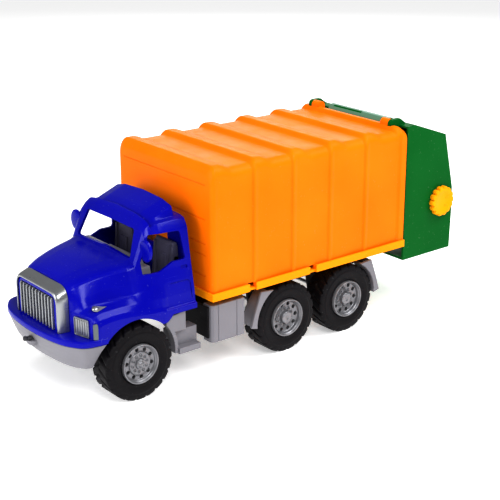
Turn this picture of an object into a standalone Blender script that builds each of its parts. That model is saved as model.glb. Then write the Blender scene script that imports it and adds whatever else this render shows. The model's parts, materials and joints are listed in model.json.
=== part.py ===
"""Toy garbage truck: bonnet cab, ribbed refuse body that tips, lifting tailgate and bin lift.

Frame: +X forwards, +Y to the truck's left, +Z up. The origin is on the ground under the middle of
the truck's overall box. Everything is in metres.
"""

import math

import bmesh
import bpy
from mathutils import Matrix, Vector

MM = 0.001
GAP = 0.3 * MM

# Running gear
TYRE_RADIUS = 40 * MM
TYRE_WIDTH = 29 * MM
TYRE_OUTER_Y = 83.3 * MM
TYRE_BORE = 21.5 * MM
RIM_RADIUS = TYRE_BORE - GAP
RIM_LIP_Y = 85.4 * MM
AXLE_RADIUS = 2 * MM
AXLE_HALF = 79.7 * MM
BEARING_RADIUS = AXLE_RADIUS + GAP
RIM_STEPS = 20
AXLE_X = {"front": 183.6 * MM, "middle": -11.1 * MM, "rear": -100.8 * MM}
WHEEL_STEPS = 28
RIM_HOLES = 10

# Chassis
FRAME_HALF = 26 * MM
FRAME_WALL = 3 * MM
FRAME_TOP = 80 * MM
FRAME_UNDER = 54 * MM
FRAME_FRONT_UNDER = 61 * MM
FRAME_FRONT_TOP = 68 * MM
FRAME_STEP_X = 58 * MM
PAD_UNDER = 34 * MM
FRAME_REAR_X = -173 * MM
FRAME_FRONT_X = 226 * MM
BODY_ON_FRAME_X = 88 * MM
ARCH_RADIUS = 46.5 * MM
LIP_START_Y = 80 * MM

# Refuse body
BODY_HALF = 86.2 * MM
BODY_FRONT_X = 93 * MM
BODY_REAR_X = -186.5 * MM
BODY_BASE = 89 * MM
BODY_ROOF = 229 * MM
BODY_WALL = 2.4 * MM
SECTIONS = 5
REAR_RING = 12 * MM
SECTION_PITCH = (BODY_FRONT_X - BODY_REAR_X - REAR_RING) / SECTIONS
RIDGE_STEEP, RIDGE_CREST, RIDGE_FALL = 0.07, 0.24, 0.46
ROOF_RIB = 4.8 * MM
SIDE_RIB = 1.5 * MM
ROOF_CORNER = 11 * MM
TRAY_UNDER = 85.9 * MM
TRAY_FLOOR = 2.8 * MM
SKIRT_TOP = 94.3 * MM
SKIRT_HALF = 88.6 * MM
SKIRT_WALL = 2 * MM

# Joints
TIP_X, TIP_Z = -166.6 * MM, 75 * MM
HINGE_X, HINGE_Z = -180.1 * MM, 230 * MM
EAR_RADIUS = 5.4 * MM
EAR_Y = (53 * MM, 65 * MM)
LUG_Y = (65.3 * MM, 70.3 * MM)
LIFT_X, LIFT_Z = -247.5 * MM, 130 * MM
SHAFT_RADIUS, SHAFT_HALF = 3.6 * MM, 89 * MM

# Tailgate
GATE_HALF = 84.4 * MM
GATE_WALL = 2.6 * MM
GATE_FRONT_X = -189 * MM
KNOB_RADIUS = 18.4 * MM
KNOB_LOBES = 14

# Cab
CAB_WALL = 2.6 * MM
CAB_REAR_X = 109 * MM
NOSE_X = 239.5 * MM
GRILLE_X = 250.5 * MM
LIP_UNDER, LIP_TOP = 70 * MM, 77 * MM
SCREW_X = (122 * MM, -151 * MM)
SCREW_Y = 40 * MM
MUDGUARD_Y = 84 * MM
HOOK_X, HOOK_TIP_X, HOOK_UNDER = 257.5 * MM, 269.5 * MM, 60.5 * MM
GRILLE_BARS = 11
BAR_PITCH = 6.15 * MM
GRILLE_HALF, GRILLE_TOP = 38.9 * MM, 116.6 * MM
POCKET_HALF, POCKET_UNDER, POCKET_TOP = 32.7 * MM, 78.6 * MM, 113 * MM
POCKET_DEPTH = 2.4 * MM


def clear_scene():
    for item in list(bpy.data.objects):
        bpy.data.objects.remove(item)


def plastic(name, colour, roughness=0.35, metallic=0.0):
    """A Principled material in one colour."""
    made = bpy.data.materials.new(name)
    made.use_nodes = True
    shader = made.node_tree.nodes["Principled BSDF"]
    shader.inputs["Base Color"].default_value = (*colour, 1)
    shader.inputs["Roughness"].default_value = roughness
    shader.inputs["Metallic"].default_value = metallic
    made.diffuse_color = (*colour, 1)
    return made


def node_from(name, mesh_maker, material, origin=(0, 0, 0), sharp=35):
    """A named object from a bmesh in world coordinates, with its origin on the given point."""
    bmesh.ops.recalc_face_normals(mesh_maker, faces=mesh_maker.faces)
    bmesh.ops.translate(mesh_maker, verts=mesh_maker.verts, vec=-Vector(origin))
    mesh = bpy.data.meshes.new(name)
    mesh_maker.to_mesh(mesh)
    mesh_maker.free()
    mesh.shade_smooth()
    mesh.set_sharp_from_angle(angle=math.radians(sharp))
    made = bpy.data.objects.new(name, mesh)
    made.location = origin
    bpy.context.scene.collection.objects.link(made)
    if material:
        mesh.materials.append(material)
    return made


def combine(target, other, operation):
    """Runs one exact boolean on the target and removes the other object."""
    bpy.context.view_layer.update()
    modifier = target.modifiers.new(operation, "BOOLEAN")
    modifier.operation = operation
    modifier.solver = "EXACT"
    modifier.object = other
    graph = bpy.context.evaluated_depsgraph_get()
    mesh = bpy.data.meshes.new_from_object(target.evaluated_get(graph))
    target.modifiers.clear()
    materials = list(target.data.materials)
    mesh.name = target.name
    target.data = mesh
    target.data.materials.clear()
    for item in materials:
        target.data.materials.append(item)
    mesh.shade_smooth()
    mesh.set_sharp_from_angle(angle=math.radians(35))
    bpy.data.objects.remove(other)
    return target


def cut(target, *cutters):
    for cutter in cutters:
        combine(target, cutter, "DIFFERENCE")


def join(target, *others):
    for other in others:
        combine(target, other, "UNION")


def helper(mesh_maker):
    """A cutter or an addition that a boolean uses up."""
    made = node_from("helper", mesh_maker, None)
    made.hide_render = True
    made.display_type = "WIRE"
    return made


def ring_faces(maker, rings, wrap):
    """Quads between neighbouring rings; a wrapped stack joins its last ring to its first."""
    pairs = list(zip(rings, rings[1:]))
    if wrap:
        pairs.append((rings[-1], rings[0]))
    for near, far in pairs:
        count = len(near)
        for i in range(count):
            j = (i + 1) % count
            corners = [near[i], near[j], far[j], far[i]]
            distinct = list(dict.fromkeys(corners))
            if len(distinct) > 2:
                maker.faces.new(distinct)


def loft(sections):
    """A closed solid through sections that all have the same number of points."""
    maker = bmesh.new()
    rings = [[maker.verts.new(point) for point in section] for section in sections]
    ring_faces(maker, rings, wrap=False)
    maker.faces.new(rings[0])
    maker.faces.new(rings[-1])
    return maker


def prism(outline, axis, low, high):
    """An outline in the plane square to the axis, extruded from low to high along it."""
    place = {
        "X": lambda a, b, level: (level, a, b),
        "Y": lambda a, b, level: (a, level, b),
        "Z": lambda a, b, level: (a, b, level),
    }[axis]
    return loft([[place(a, b, level) for a, b in outline] for level in (low, high)])


def block(low, high):
    return prism([(low[0], low[1]), (high[0], low[1]), (high[0], high[1]), (low[0], high[1])],
                 "Z", low[2], high[2])


def rounded(outline, radius, steps=3):
    """The outline with each corner replaced by an arc that touches both its sides."""
    radii = radius if isinstance(radius, (list, tuple)) else [radius] * len(outline)
    result = []
    for i, (corner, size) in enumerate(zip(outline, radii)):
        if size <= 0:
            result.append(tuple(corner))
            continue
        here = Vector(corner)
        before = (Vector(outline[i - 1]) - here).normalized()
        after = (Vector(outline[(i + 1) % len(outline)]) - here).normalized()
        half = before.angle(after) / 2
        centre = here + (before + after).normalized() * (size / math.sin(half))
        start = here + before * (size / math.tan(half)) - centre
        end = here + after * (size / math.tan(half)) - centre
        for k in range(steps + 1):
            spoke = start.lerp(end, k / steps).normalized() * size
            result.append(tuple(centre + spoke))
    return result


def circle(centre, radius, steps, start=0.0):
    return [(centre[0] + radius * math.cos(start + 2 * math.pi * k / steps),
             centre[1] + radius * math.sin(start + 2 * math.pi * k / steps)) for k in range(steps)]


def arc(centre, radius, first, last, steps):
    """Points from one angle to another, in degrees, along a circle."""
    turns = [math.radians(first + (last - first) * k / steps) for k in range(steps + 1)]
    return [(centre[0] + radius * math.cos(t), centre[1] + radius * math.sin(t)) for t in turns]


def turned(profile, centre, steps=WHEEL_STEPS):
    """A (radius, y) profile turned about the line through centre=(x, z) along Y.

    The radius is to the middle of a facet, so a tyre stands on a flat one. A profile that leaves and
    returns to the axis closes itself there; any other is a closed loop.
    """
    maker = bmesh.new()
    stacks = []
    for radius, y in profile:
        if radius == 0:
            pole = maker.verts.new((centre[0], y, centre[1]))
            stacks.append([pole] * steps)
            continue
        spin = circle(centre, radius / math.cos(math.pi / steps), steps,
                      start=math.pi / steps - math.pi / 2)
        stacks.append([maker.verts.new((x, y, z)) for x, z in spin])
    on_axis = profile[0][0] == 0
    ring_faces(maker, stacks, wrap=not on_axis)
    return maker


def cylinder(centre, radius, low, high, steps=16):
    return turned([(0, low), (radius, low), (radius, high), (0, high)], centre, steps)


def mirrored(source, name):
    """A copy of a node on the other side of the truck, with the same origin height and length."""
    mesh = source.data.copy()
    mesh.transform(Matrix.Scale(-1, 4, (0, 1, 0)))
    mesh.flip_normals()
    made = bpy.data.objects.new(name, mesh)
    made.location = (source.location.x, -source.location.y, source.location.z)
    bpy.context.scene.collection.objects.link(made)
    return made


def pair(name, maker, material, origin=(0, 0, 0)):
    """The left node as modelled and its mirror image on the right."""
    left = node_from("left_" + name, maker, material, origin)
    return left, mirrored(left, "right_" + name)


def pivot(name, location):
    empty = bpy.data.objects.new(name, None)
    empty.location = location
    empty.empty_display_size = 0.02
    bpy.context.scene.collection.objects.link(empty)
    return empty


def hang_on(empty, *nodes):
    """Parents nodes to a pivot without moving them."""
    bpy.context.view_layer.update()
    for node in nodes:
        node.parent = empty
        node.matrix_parent_inverse = empty.matrix_world.inverted()


# ---------------------------------------------------------------- wheels


def tyre_profile():
    inner = TYRE_OUTER_Y - TYRE_WIDTH
    shoulder = TYRE_RADIUS - 1.4 * MM
    return [
        (TYRE_BORE, TYRE_OUTER_Y - 1.5 * MM), (24 * MM, TYRE_OUTER_Y - 0.6 * MM),
        (32 * MM, TYRE_OUTER_Y), (shoulder, TYRE_OUTER_Y - 2.6 * MM),
        (TYRE_RADIUS, TYRE_OUTER_Y - 6 * MM), (TYRE_RADIUS, inner + 6 * MM),
        (shoulder, inner + 2.6 * MM), (32 * MM, inner), (24 * MM, inner + 0.6 * MM),
        (TYRE_BORE, inner + 1.5 * MM),
    ]


def rim_profile(front):
    """Half section from the blind axle hole, round the barrel and back to the hub's face."""
    inner = TYRE_OUTER_Y - TYRE_WIDTH + 1 * MM
    bore = AXLE_RADIUS + 0.15 * MM
    barrel = 18.2 * MM
    hub = 7 * MM
    back = [(0, AXLE_HALF + GAP), (bore, AXLE_HALF + GAP), (bore, inner + 4 * MM),
            (hub, inner + 4 * MM), (hub, 74 * MM), (barrel, 74 * MM), (barrel, inner),
            (RIM_RADIUS, inner), (RIM_RADIUS, RIM_LIP_Y), (19.7 * MM, RIM_LIP_Y)]
    if front:
        return back + [(18.3 * MM, 81.4 * MM), (17.6 * MM, 78.6 * MM), (12.6 * MM, 78.6 * MM),
                       (12.2 * MM, 81.8 * MM), (5.6 * MM, 82.2 * MM), (3.6 * MM, 85 * MM),
                       (0, 86 * MM)]
    return back + [(18.5 * MM, 82.4 * MM), (17.9 * MM, 79 * MM), (7.2 * MM, 78.6 * MM),
                   (7 * MM, 83.6 * MM), (0, 83.6 * MM)]


def rim_node(name, front, axle_x, material):
    centre = (axle_x, TYRE_RADIUS)
    rim = node_from(name, turned(rim_profile(front), centre, RIM_STEPS), material,
                    (axle_x, 0, TYRE_RADIUS))
    spacing = 2 * math.pi / RIM_HOLES
    for k in range(RIM_HOLES):
        turn = spacing * k
        spot = (axle_x + 15.1 * MM * math.cos(turn), TYRE_RADIUS + 15.1 * MM * math.sin(turn))
        cut(rim, helper(cylinder(spot, 1.7 * MM, 70 * MM, 84 * MM, 6)))
    return rim


def axle_set(place, materials):
    """One rod with a tyre and a rim at each end, hung on a pivot at its axis."""
    axle_x = AXLE_X[place]
    centre = (axle_x, TYRE_RADIUS)
    origin = (axle_x, 0, TYRE_RADIUS)
    rod = node_from(place + "_axle", cylinder(centre, AXLE_RADIUS, -AXLE_HALF, AXLE_HALF, 12),
                    materials["steel"], origin)
    tyre = node_from(f"{place}_left_tyre", turned(tyre_profile(), centre), materials["tyre"], origin)
    rim = rim_node(f"{place}_left_rim", place == "front", axle_x, materials["rim"])
    nodes = [rod, tyre, rim,
             mirrored(tyre, f"{place}_right_tyre"), mirrored(rim, f"{place}_right_rim")]
    hang_on(pivot(place + "_axle_pivot", origin), *nodes)


# ---------------------------------------------------------------- chassis


def bearing_pad(axle_x):
    """The plate outline round one axle, below the rail."""
    return [(axle_x - 12 * MM, FRAME_FRONT_UNDER + 1 * MM), (axle_x - 7 * MM, PAD_UNDER),
            (axle_x + 7 * MM, PAD_UNDER), (axle_x + 12 * MM, FRAME_FRONT_UNDER + 1 * MM)]


OUTRIGGERS = (
    # middle along X, half length, reach to the side, underside, top
    (SCREW_X[0], 7 * MM, 55 * MM, FRAME_FRONT_UNDER, FRAME_FRONT_TOP),
    (72 * MM, 9 * MM, 67.6 * MM, 60 * MM, 70 * MM),
    (42 * MM, 5 * MM, 61.6 * MM, 64 * MM, 72 * MM),
    (SCREW_X[1], 5 * MM, 61.6 * MM, 62 * MM, 70 * MM),
)
CROSS_WALLS = (FRAME_REAR_X, -128 * MM, -56 * MM, 40 * MM, 128 * MM, FRAME_FRONT_X)
REST_PADS = (62 * MM, -118 * MM)
BULKHEAD_X, BULKHEAD_REACH = 92.9 * MM, 78.5 * MM


def chassis_frame(material):
    """Upside-down channel with cross walls, bearing plates, outriggers and the tipping hinge hole."""
    side = [(FRAME_REAR_X, FRAME_UNDER), (FRAME_STEP_X, FRAME_UNDER),
            (FRAME_STEP_X + 12 * MM, FRAME_FRONT_UNDER), (FRAME_FRONT_X, FRAME_FRONT_UNDER),
            (FRAME_FRONT_X, FRAME_FRONT_TOP), (150 * MM, 76 * MM), (BODY_ON_FRAME_X + 14 * MM, 76 * MM),
            (BODY_ON_FRAME_X + 12 * MM, FRAME_TOP), (FRAME_REAR_X, FRAME_TOP)]
    frame = node_from("chassis_frame", prism(side, "Y", -FRAME_HALF, FRAME_HALF), material)
    for axle_x in AXLE_X.values():
        join(frame, helper(prism(bearing_pad(axle_x), "Y", -FRAME_HALF, FRAME_HALF)))
    inner = FRAME_HALF - FRAME_WALL
    for near, far in zip(CROSS_WALLS, CROSS_WALLS[1:]):
        roof = FRAME_TOP if near < BODY_ON_FRAME_X else FRAME_FRONT_TOP
        cut(frame, helper(block((near + FRAME_WALL / 2, -inner, 20 * MM),
                                (far - FRAME_WALL / 2, inner, roof - FRAME_WALL))))
    for axle_x in AXLE_X.values():
        cut(frame, helper(cylinder((axle_x, TYRE_RADIUS), BEARING_RADIUS,
                                   -2 * FRAME_HALF, 2 * FRAME_HALF, 12)))
    for x, half_length, reach, under, top in OUTRIGGERS:
        for side in (-1, 1):
            low, high = sorted((side * (FRAME_HALF - 1 * MM), side * reach))
            join(frame, helper(block((x - half_length, low, under), (x + half_length, high, top))))
    for side in (-1, 1):
        low, high = sorted((side * (FRAME_HALF - 1 * MM), side * BULKHEAD_REACH))
        join(frame, helper(block((BULKHEAD_X, low, 42 * MM), (BULKHEAD_X + 1.8 * MM, high, 77 * MM))))
    for x in REST_PADS:
        join(frame, helper(block((x - 5 * MM, -18 * MM, FRAME_TOP - 1 * MM),
                                 (x + 5 * MM, 18 * MM, TRAY_UNDER - GAP))))
    cut(frame, helper(cylinder((TIP_X, TIP_Z), BEARING_RADIUS, -2 * FRAME_HALF, 2 * FRAME_HALF, 12)))
    for x, y, under in screw_spots():
        cut(frame, helper(prism(circle((x, y), 1.6 * MM, 10), "Z", under - 5 * MM, under + 6.5 * MM)))
    return frame


def screw_spots():
    """Where the four screws enter: (x, y, underside)."""
    return [(row[0], side * SCREW_Y, row[3]) for row in OUTRIGGERS for side in (1, -1)
            if row[0] in SCREW_X]


def screws(material):
    for number, (x, y, under) in enumerate(screw_spots(), start=1):
        seat = under - GAP
        screw = node_from(f"frame_screw_{number}", prism(circle((x, y), 3 * MM, 12), "Z",
                                                         seat - 1.5 * MM, seat), material, (x, y, seat))
        join(screw, helper(prism(circle((x, y), 1.3 * MM, 8), "Z", seat - 0.5 * MM, under + 6 * MM)))
        cut(screw, helper(block((x - 4 * MM, y - 0.5 * MM, seat - 2 * MM),
                                (x + 4 * MM, y + 0.5 * MM, seat - 0.9 * MM))))


def nose_outline(inset):
    """The plan curve of the front lip from the left arch to the right one, moved in by inset."""
    half = [(218 * MM, LIP_START_Y), (232 * MM, 78.8 * MM), (243 * MM, 75 * MM),
            (250.4 * MM, 66 * MM), (255.9 * MM, 55 * MM), (259.4 * MM, 40 * MM),
            (261.6 * MM, 22 * MM), (262.6 * MM, 0)]
    shifted = []
    for i, (x, y) in enumerate(half):
        before = Vector(half[max(i - 1, 0)])
        after = Vector(half[i + 1]) if i + 1 < len(half) else Vector((x, y - 1))
        along = (after - before).normalized()
        shifted.append((x - inset * abs(along.y), y - inset * abs(along.x)))
    return shifted + [(x, -y) for x, y in reversed(shifted[:-1])]


def front_bumper(material):
    """A curved band that leans back towards its lower edge, with two arms to the frame."""
    levels = [(LIP_UNDER - GAP, 1.4 * MM), (60 * MM, 4 * MM), (48 * MM, 9 * MM), (42.5 * MM, 13 * MM)]
    wall = 3 * MM
    sections = []
    outer = [[(x, y, z) for x, y in nose_outline(inset)] for z, inset in levels]
    inner = [[(x, y, z) for x, y in nose_outline(inset + wall)] for z, inset in levels]
    for i in range(len(outer[0])):
        sections.append([ring[i] for ring in outer] + [ring[i] for ring in reversed(inner)])
    bumper = node_from("front_bumper", loft(sections), material)
    for side in (-1, 1):
        low, high = sorted((side * 14 * MM, side * 22 * MM))
        join(bumper, helper(block((FRAME_FRONT_X + GAP, low, 55 * MM), (254.5 * MM, high, 66 * MM))))
    bowl = [(HOOK_X, -7.6 * MM)] + arc((HOOK_X, 0), 7.6 * MM, -75, 75, 8) + [(HOOK_X, 7.6 * MM)]
    small = [(HOOK_X + (x - HOOK_X) * 0.6, y * 0.7) for x, y in bowl]
    join(bumper, helper(loft([[(x, y, 53.6 * MM) for x, y in small],
                              [(x, y, 57.8 * MM) for x, y in bowl],
                              [(x, y, HOOK_UNDER - GAP) for x, y in bowl]])))
    cut(bumper, helper(arch_opening()))
    return bumper


def tow_hook(material):
    """A tongue lying on the bumper's half-round bracket, with a raised round end."""
    plan = [(HOOK_X + 2.6 * MM, -3.2 * MM), (264 * MM, -2.4 * MM)]
    plan += arc((HOOK_TIP_X - 2.5 * MM, 0), 2.5 * MM, -80, 80, 6)
    plan += [(264 * MM, 2.4 * MM), (HOOK_X + 2.6 * MM, 3.2 * MM)]
    hook = node_from("tow_hook", prism(plan, "Z", HOOK_UNDER, HOOK_UNDER + 3 * MM), material)
    bulb = circle((HOOK_TIP_X - 2.5 * MM, 0), 2.5 * MM, 12)
    join(hook, helper(prism(bulb, "Z", HOOK_UNDER + 0.4 * MM, HOOK_UNDER + 4.4 * MM)))
    return hook


def arch_arc(radius, first, last, steps):
    return arc((AXLE_X["front"], TYRE_RADIUS), radius, first, last, steps)


def arch_opening():
    return prism(circle((AXLE_X["front"], TYRE_RADIUS), ARCH_RADIUS, 40), "Y", -100 * MM, 100 * MM)


def step_unit(material):
    """The bracket behind the front wheel, with two treads and an arch-shaped front edge."""
    rear_x, web_rear_x, front_x = 104 * MM, 122 * MM, 136 * MM
    edge = ARCH_RADIUS + 1.3 * MM
    under, middle, upper_top = 34.6 * MM, 41 * MM, 58 * MM
    inner_y, web_y, upper_y, lower_y = 55.8 * MM, 69.5 * MM, 71 * MM, 79.5 * MM
    web = arch_arc(edge, 185, 141, 6)
    web += [(146 * MM, 74 * MM), (141 * MM, 78.4 * MM), (web_rear_x, 80.6 * MM),
            (web_rear_x, upper_top + 2 * MM)]
    web += arch_arc(edge + 4 * MM, 157, 185, 4)
    unit = node_from("left_step", prism(web, "Y", web_y, 77 * MM), material)
    join(unit, helper(block((rear_x, inner_y, middle - 1 * MM), (front_x, upper_y, upper_top))),
         helper(block((rear_x + 1 * MM, inner_y + 0.5 * MM, under), (front_x - 4 * MM, lower_y, middle))))
    return unit, mirrored(unit, "right_step")


def toolbox(material):
    plan = rounded([(48.5 * MM, 68 * MM), (92.5 * MM, 68 * MM), (92.5 * MM, 83.2 * MM),
                    (48.5 * MM, 83.2 * MM)], [0, 0, 4.5 * MM, 1.5 * MM], 3)
    box = node_from("left_toolbox", prism(plan, "Z", 37 * MM, 79 * MM), material)
    for groove_x in (59.5 * MM, 84 * MM):
        cut(box, helper(block((groove_x - 0.5 * MM, 82.4 * MM, 36 * MM),
                              (groove_x + 0.5 * MM, 84 * MM, 80 * MM))))
    return box, mirrored(box, "right_toolbox")


def mudguards(material):
    """A web beside the tyre and a thin curved sheet behind it, at the middle and rear wheels."""
    clear = TYRE_RADIUS + 2.6 * MM
    sheet = 2.2 * MM
    shapes = (
        ("front_mudguard", AXLE_X["middle"], 1),
        ("rear_mudguard", AXLE_X["rear"], -1),
    )
    for name, axle_x, way in shapes:
        inside = arc((0, TYRE_RADIUS), clear, -3, 62, 10)
        edge = [(37.3 * MM, 79.2 * MM), (44.7 * MM, 59.2 * MM), (51 * MM, 40 * MM)]
        web = [(axle_x + way * x, z) for x, z in inside + edge]
        band = inside[:-1] + arc((0, TYRE_RADIUS), clear + sheet, 56, -3, 10)
        curved = [(axle_x + way * x, z) for x, z in band]
        guard = node_from("left_" + name, prism(web, "Y", MUDGUARD_Y - 3 * MM, MUDGUARD_Y), material)
        join(guard, helper(prism(curved, "Y", 62 * MM, MUDGUARD_Y - 2 * MM)))
        mirrored(guard, "right_" + name)


# ---------------------------------------------------------------- refuse body


def rib_height(share):
    """Height of a rib, 0 to 1, at a share of its section's length from the front."""
    if share < RIDGE_STEEP:
        return share / RIDGE_STEEP
    if share < RIDGE_CREST:
        return 1.0
    return max(0.0, 1 - (share - RIDGE_CREST) / (RIDGE_FALL - RIDGE_CREST))


def body_section(x, top, half):
    """One transverse ring with rounded roof corners."""
    outline = rounded([(-half, BODY_BASE), (half, BODY_BASE), (half, top), (-half, top)],
                      [0, 0, ROOF_CORNER, ROOF_CORNER], 4)
    return [(x, y, z) for y, z in outline]


def body_shell(material):
    """The ribbed cover, open underneath and at the rear, with the tailgate's two ears."""
    low_top = BODY_ROOF - ROOF_RIB
    low_half = BODY_HALF - SIDE_RIB
    last_share = 0.985
    shares = (0.0, RIDGE_STEEP, RIDGE_CREST, RIDGE_FALL, last_share)
    sections = [body_section(BODY_FRONT_X, low_top, low_half)]
    for section in range(SECTIONS):
        front = BODY_FRONT_X - section * SECTION_PITCH
        for share in shares[1 if section == 0 else 0:]:
            height = rib_height(share)
            side = min(1.0, share / RIDGE_STEEP) if share < last_share else 0.35
            sections.append(body_section(front - share * SECTION_PITCH,
                                         low_top + height * ROOF_RIB,
                                         low_half + side * SIDE_RIB))
    ring_x = BODY_REAR_X + REAR_RING
    sections += [body_section(ring_x, low_top, low_half),
                 body_section(ring_x - 3 * MM, BODY_ROOF, BODY_HALF),
                 body_section(BODY_REAR_X + 4 * MM, BODY_ROOF, BODY_HALF),
                 body_section(BODY_REAR_X, low_top, BODY_HALF)]
    shell = node_from("body_shell", loft(sections), material)
    inner_half = low_half - BODY_WALL
    hollow = [[(x, y, z) for y, z in
               rounded([(-inner_half, BODY_BASE - 5 * MM), (inner_half, BODY_BASE - 5 * MM),
                        (inner_half, low_top - BODY_WALL), (-inner_half, low_top - BODY_WALL)],
                       [0, 0, ROOF_CORNER - BODY_WALL, ROOF_CORNER - BODY_WALL], 4)]
              for x in (BODY_FRONT_X - 2 * BODY_WALL, BODY_REAR_X - 5 * MM)]
    cut(shell, helper(loft(hollow)))
    for side in (-1, 1):
        low, high = sorted((side * EAR_Y[1], side * (LUG_Y[1] + 0.5 * MM)))
        cut(shell, helper(block((BODY_REAR_X - 2 * MM, low, low_top),
                                (HINGE_X + EAR_RADIUS + 0.5 * MM, high, BODY_ROOF + 2 * MM))))
    ear = [(HINGE_X - EAR_RADIUS, low_top - 1 * MM)]
    ear += arc((HINGE_X, HINGE_Z), EAR_RADIUS, 180, 0, 8) + [(HINGE_X + EAR_RADIUS, low_top - 1 * MM)]
    for side in (-1, 1):
        low, high = sorted(side * y for y in EAR_Y)
        join(shell, helper(prism(ear, "Y", low, high)))
    cut(shell, helper(cylinder((HINGE_X, HINGE_Z), 2.3 * MM, -80 * MM, 80 * MM, 12)))
    return shell


def body_floor(material):
    """The tray under the shell: floor, outer skirt with wheel gaps and two tipping lugs."""
    front, rear = BODY_FRONT_X + 2.4 * MM, BODY_REAR_X
    plan = rounded([(rear, -SKIRT_HALF), (front, -SKIRT_HALF), (front, SKIRT_HALF),
                    (rear, SKIRT_HALF)], [0, 1.5 * MM, 1.5 * MM, 0], 2)
    floor = node_from("body_floor", prism(plan, "Z", TRAY_UNDER, SKIRT_TOP), material)
    inside = SKIRT_HALF - SKIRT_WALL
    cut(floor, helper(block((rear - 5 * MM, -inside, TRAY_UNDER + TRAY_FLOOR),
                            (front - SKIRT_WALL, inside, SKIRT_TOP + 5 * MM))))
    for low, high in ((36.5 * MM, 45.5 * MM), (-49 * MM, -39.5 * MM)):
        for side in (-1, 1):
            near, far = sorted((side * (inside - 0.8 * MM), side * (SKIRT_HALF + 5 * MM)))
            cut(floor, helper(block((low, near, TRAY_UNDER - 5 * MM), (high, far, SKIRT_TOP + 5 * MM))))
    lug = [(TIP_X - 5 * MM, TRAY_UNDER + 1 * MM)] + arc((TIP_X, TIP_Z), 5 * MM, 180, 360, 8)
    lug += [(TIP_X + 5 * MM, TRAY_UNDER + 1 * MM)]
    for side in (-1, 1):
        low, high = sorted((side * (FRAME_HALF + 1 * MM), side * (FRAME_HALF + 6 * MM)))
        join(floor, helper(prism(lug, "Y", low, high)))
    cut(floor, helper(cylinder((TIP_X, TIP_Z), BEARING_RADIUS, -60 * MM, 60 * MM, 12)))
    return floor


# ---------------------------------------------------------------- tailgate


def gate_outline(inset=0.0):
    """Side view of the tailgate; the inset moves every face but the open front one inwards."""
    front = GATE_FRONT_X + (10 * MM if inset else 0)
    return [(front, 67 * MM + inset), (-268.5 * MM + inset, 67 * MM + inset),
            (-269.5 * MM + inset, 112 * MM), (-268.5 * MM + inset, 143 * MM),
            (-252.5 * MM + 0.8 * inset, 210 * MM - 0.9 * inset), (-200 * MM, 229 * MM - inset),
            (front, 228 * MM - inset)]


def tailgate(material):
    """A hood-like shell: open to the body in front, with the loading mouth low at the rear."""
    gate = node_from("tailgate", prism(gate_outline(), "Y", -GATE_HALF, GATE_HALF), material,
                     (HINGE_X, 0, HINGE_Z))
    inside = GATE_HALF - GATE_WALL
    cut(gate, helper(prism(gate_outline(GATE_WALL), "Y", -inside, inside)))
    cut(gate, helper(block((-280 * MM, -72 * MM, 82 * MM), (-255 * MM, 72 * MM, 176 * MM))))
    lug = arc((HINGE_X, HINGE_Z), EAR_RADIUS, -90, 90, 8)
    lug += [(-190 * MM, HINGE_Z + EAR_RADIUS), (-203 * MM, 226 * MM), (-203 * MM, 223 * MM),
            (GATE_FRONT_X - 0.5 * MM, 221 * MM), (GATE_FRONT_X - 0.5 * MM, HINGE_Z - EAR_RADIUS)]
    for side in (-1, 1):
        low, high = sorted(side * y for y in LUG_Y)
        peg_low, peg_high = sorted((side * (EAR_Y[0] + 2 * MM), side * (LUG_Y[0] + 1 * MM)))
        join(gate, helper(prism(lug, "Y", low, high)),
             helper(cylinder((HINGE_X, HINGE_Z), AXLE_RADIUS, peg_low, peg_high, 12)))
    lip = [(BODY_REAR_X - 0.8 * MM, 223 * MM), (BODY_REAR_X - 0.8 * MM, 225.2 * MM), (-191.8 * MM, 231 * MM),
           (-196.5 * MM, 231.3 * MM), (-202 * MM, 228.2 * MM), (-202 * MM, 226.8 * MM),
           (GATE_FRONT_X, 223 * MM)]
    join(gate, helper(prism(lip, "Y", 3 * MM - EAR_Y[0], EAR_Y[0] - 3 * MM)))
    cut(gate, helper(cylinder((LIFT_X, LIFT_Z), SHAFT_RADIUS + GAP, -90 * MM, 90 * MM, 16)))
    return gate


def lift_fork(material):
    """The cross-shaft with two arms and a hooked bar that takes the bin's rim."""
    fork = node_from("lift_fork", cylinder((LIFT_X, LIFT_Z), SHAFT_RADIUS, -SHAFT_HALF, SHAFT_HALF, 16),
                     material, (LIFT_X, 0, LIFT_Z))
    arm = [(LIFT_X - 4.5 * MM, LIFT_Z + 4.5 * MM), (LIFT_X + 4.5 * MM, LIFT_Z + 4.5 * MM),
           (LIFT_X + 3 * MM, LIFT_Z - 36 * MM), (LIFT_X - 8 * MM, LIFT_Z - 40 * MM),
           (LIFT_X - 12 * MM, LIFT_Z - 33 * MM), (LIFT_X - 8 * MM, LIFT_Z - 31 * MM)]
    for side in (-1, 1):
        low, high = sorted((side * 26 * MM, side * 31 * MM))
        join(fork, helper(prism(rounded(arm, 1.5 * MM, 2), "Y", low, high)))
    join(fork, helper(block((LIFT_X - 5 * MM, -30 * MM, LIFT_Z - 37 * MM),
                            (LIFT_X + 1.5 * MM, 30 * MM, LIFT_Z - 33 * MM))))
    return fork


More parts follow.
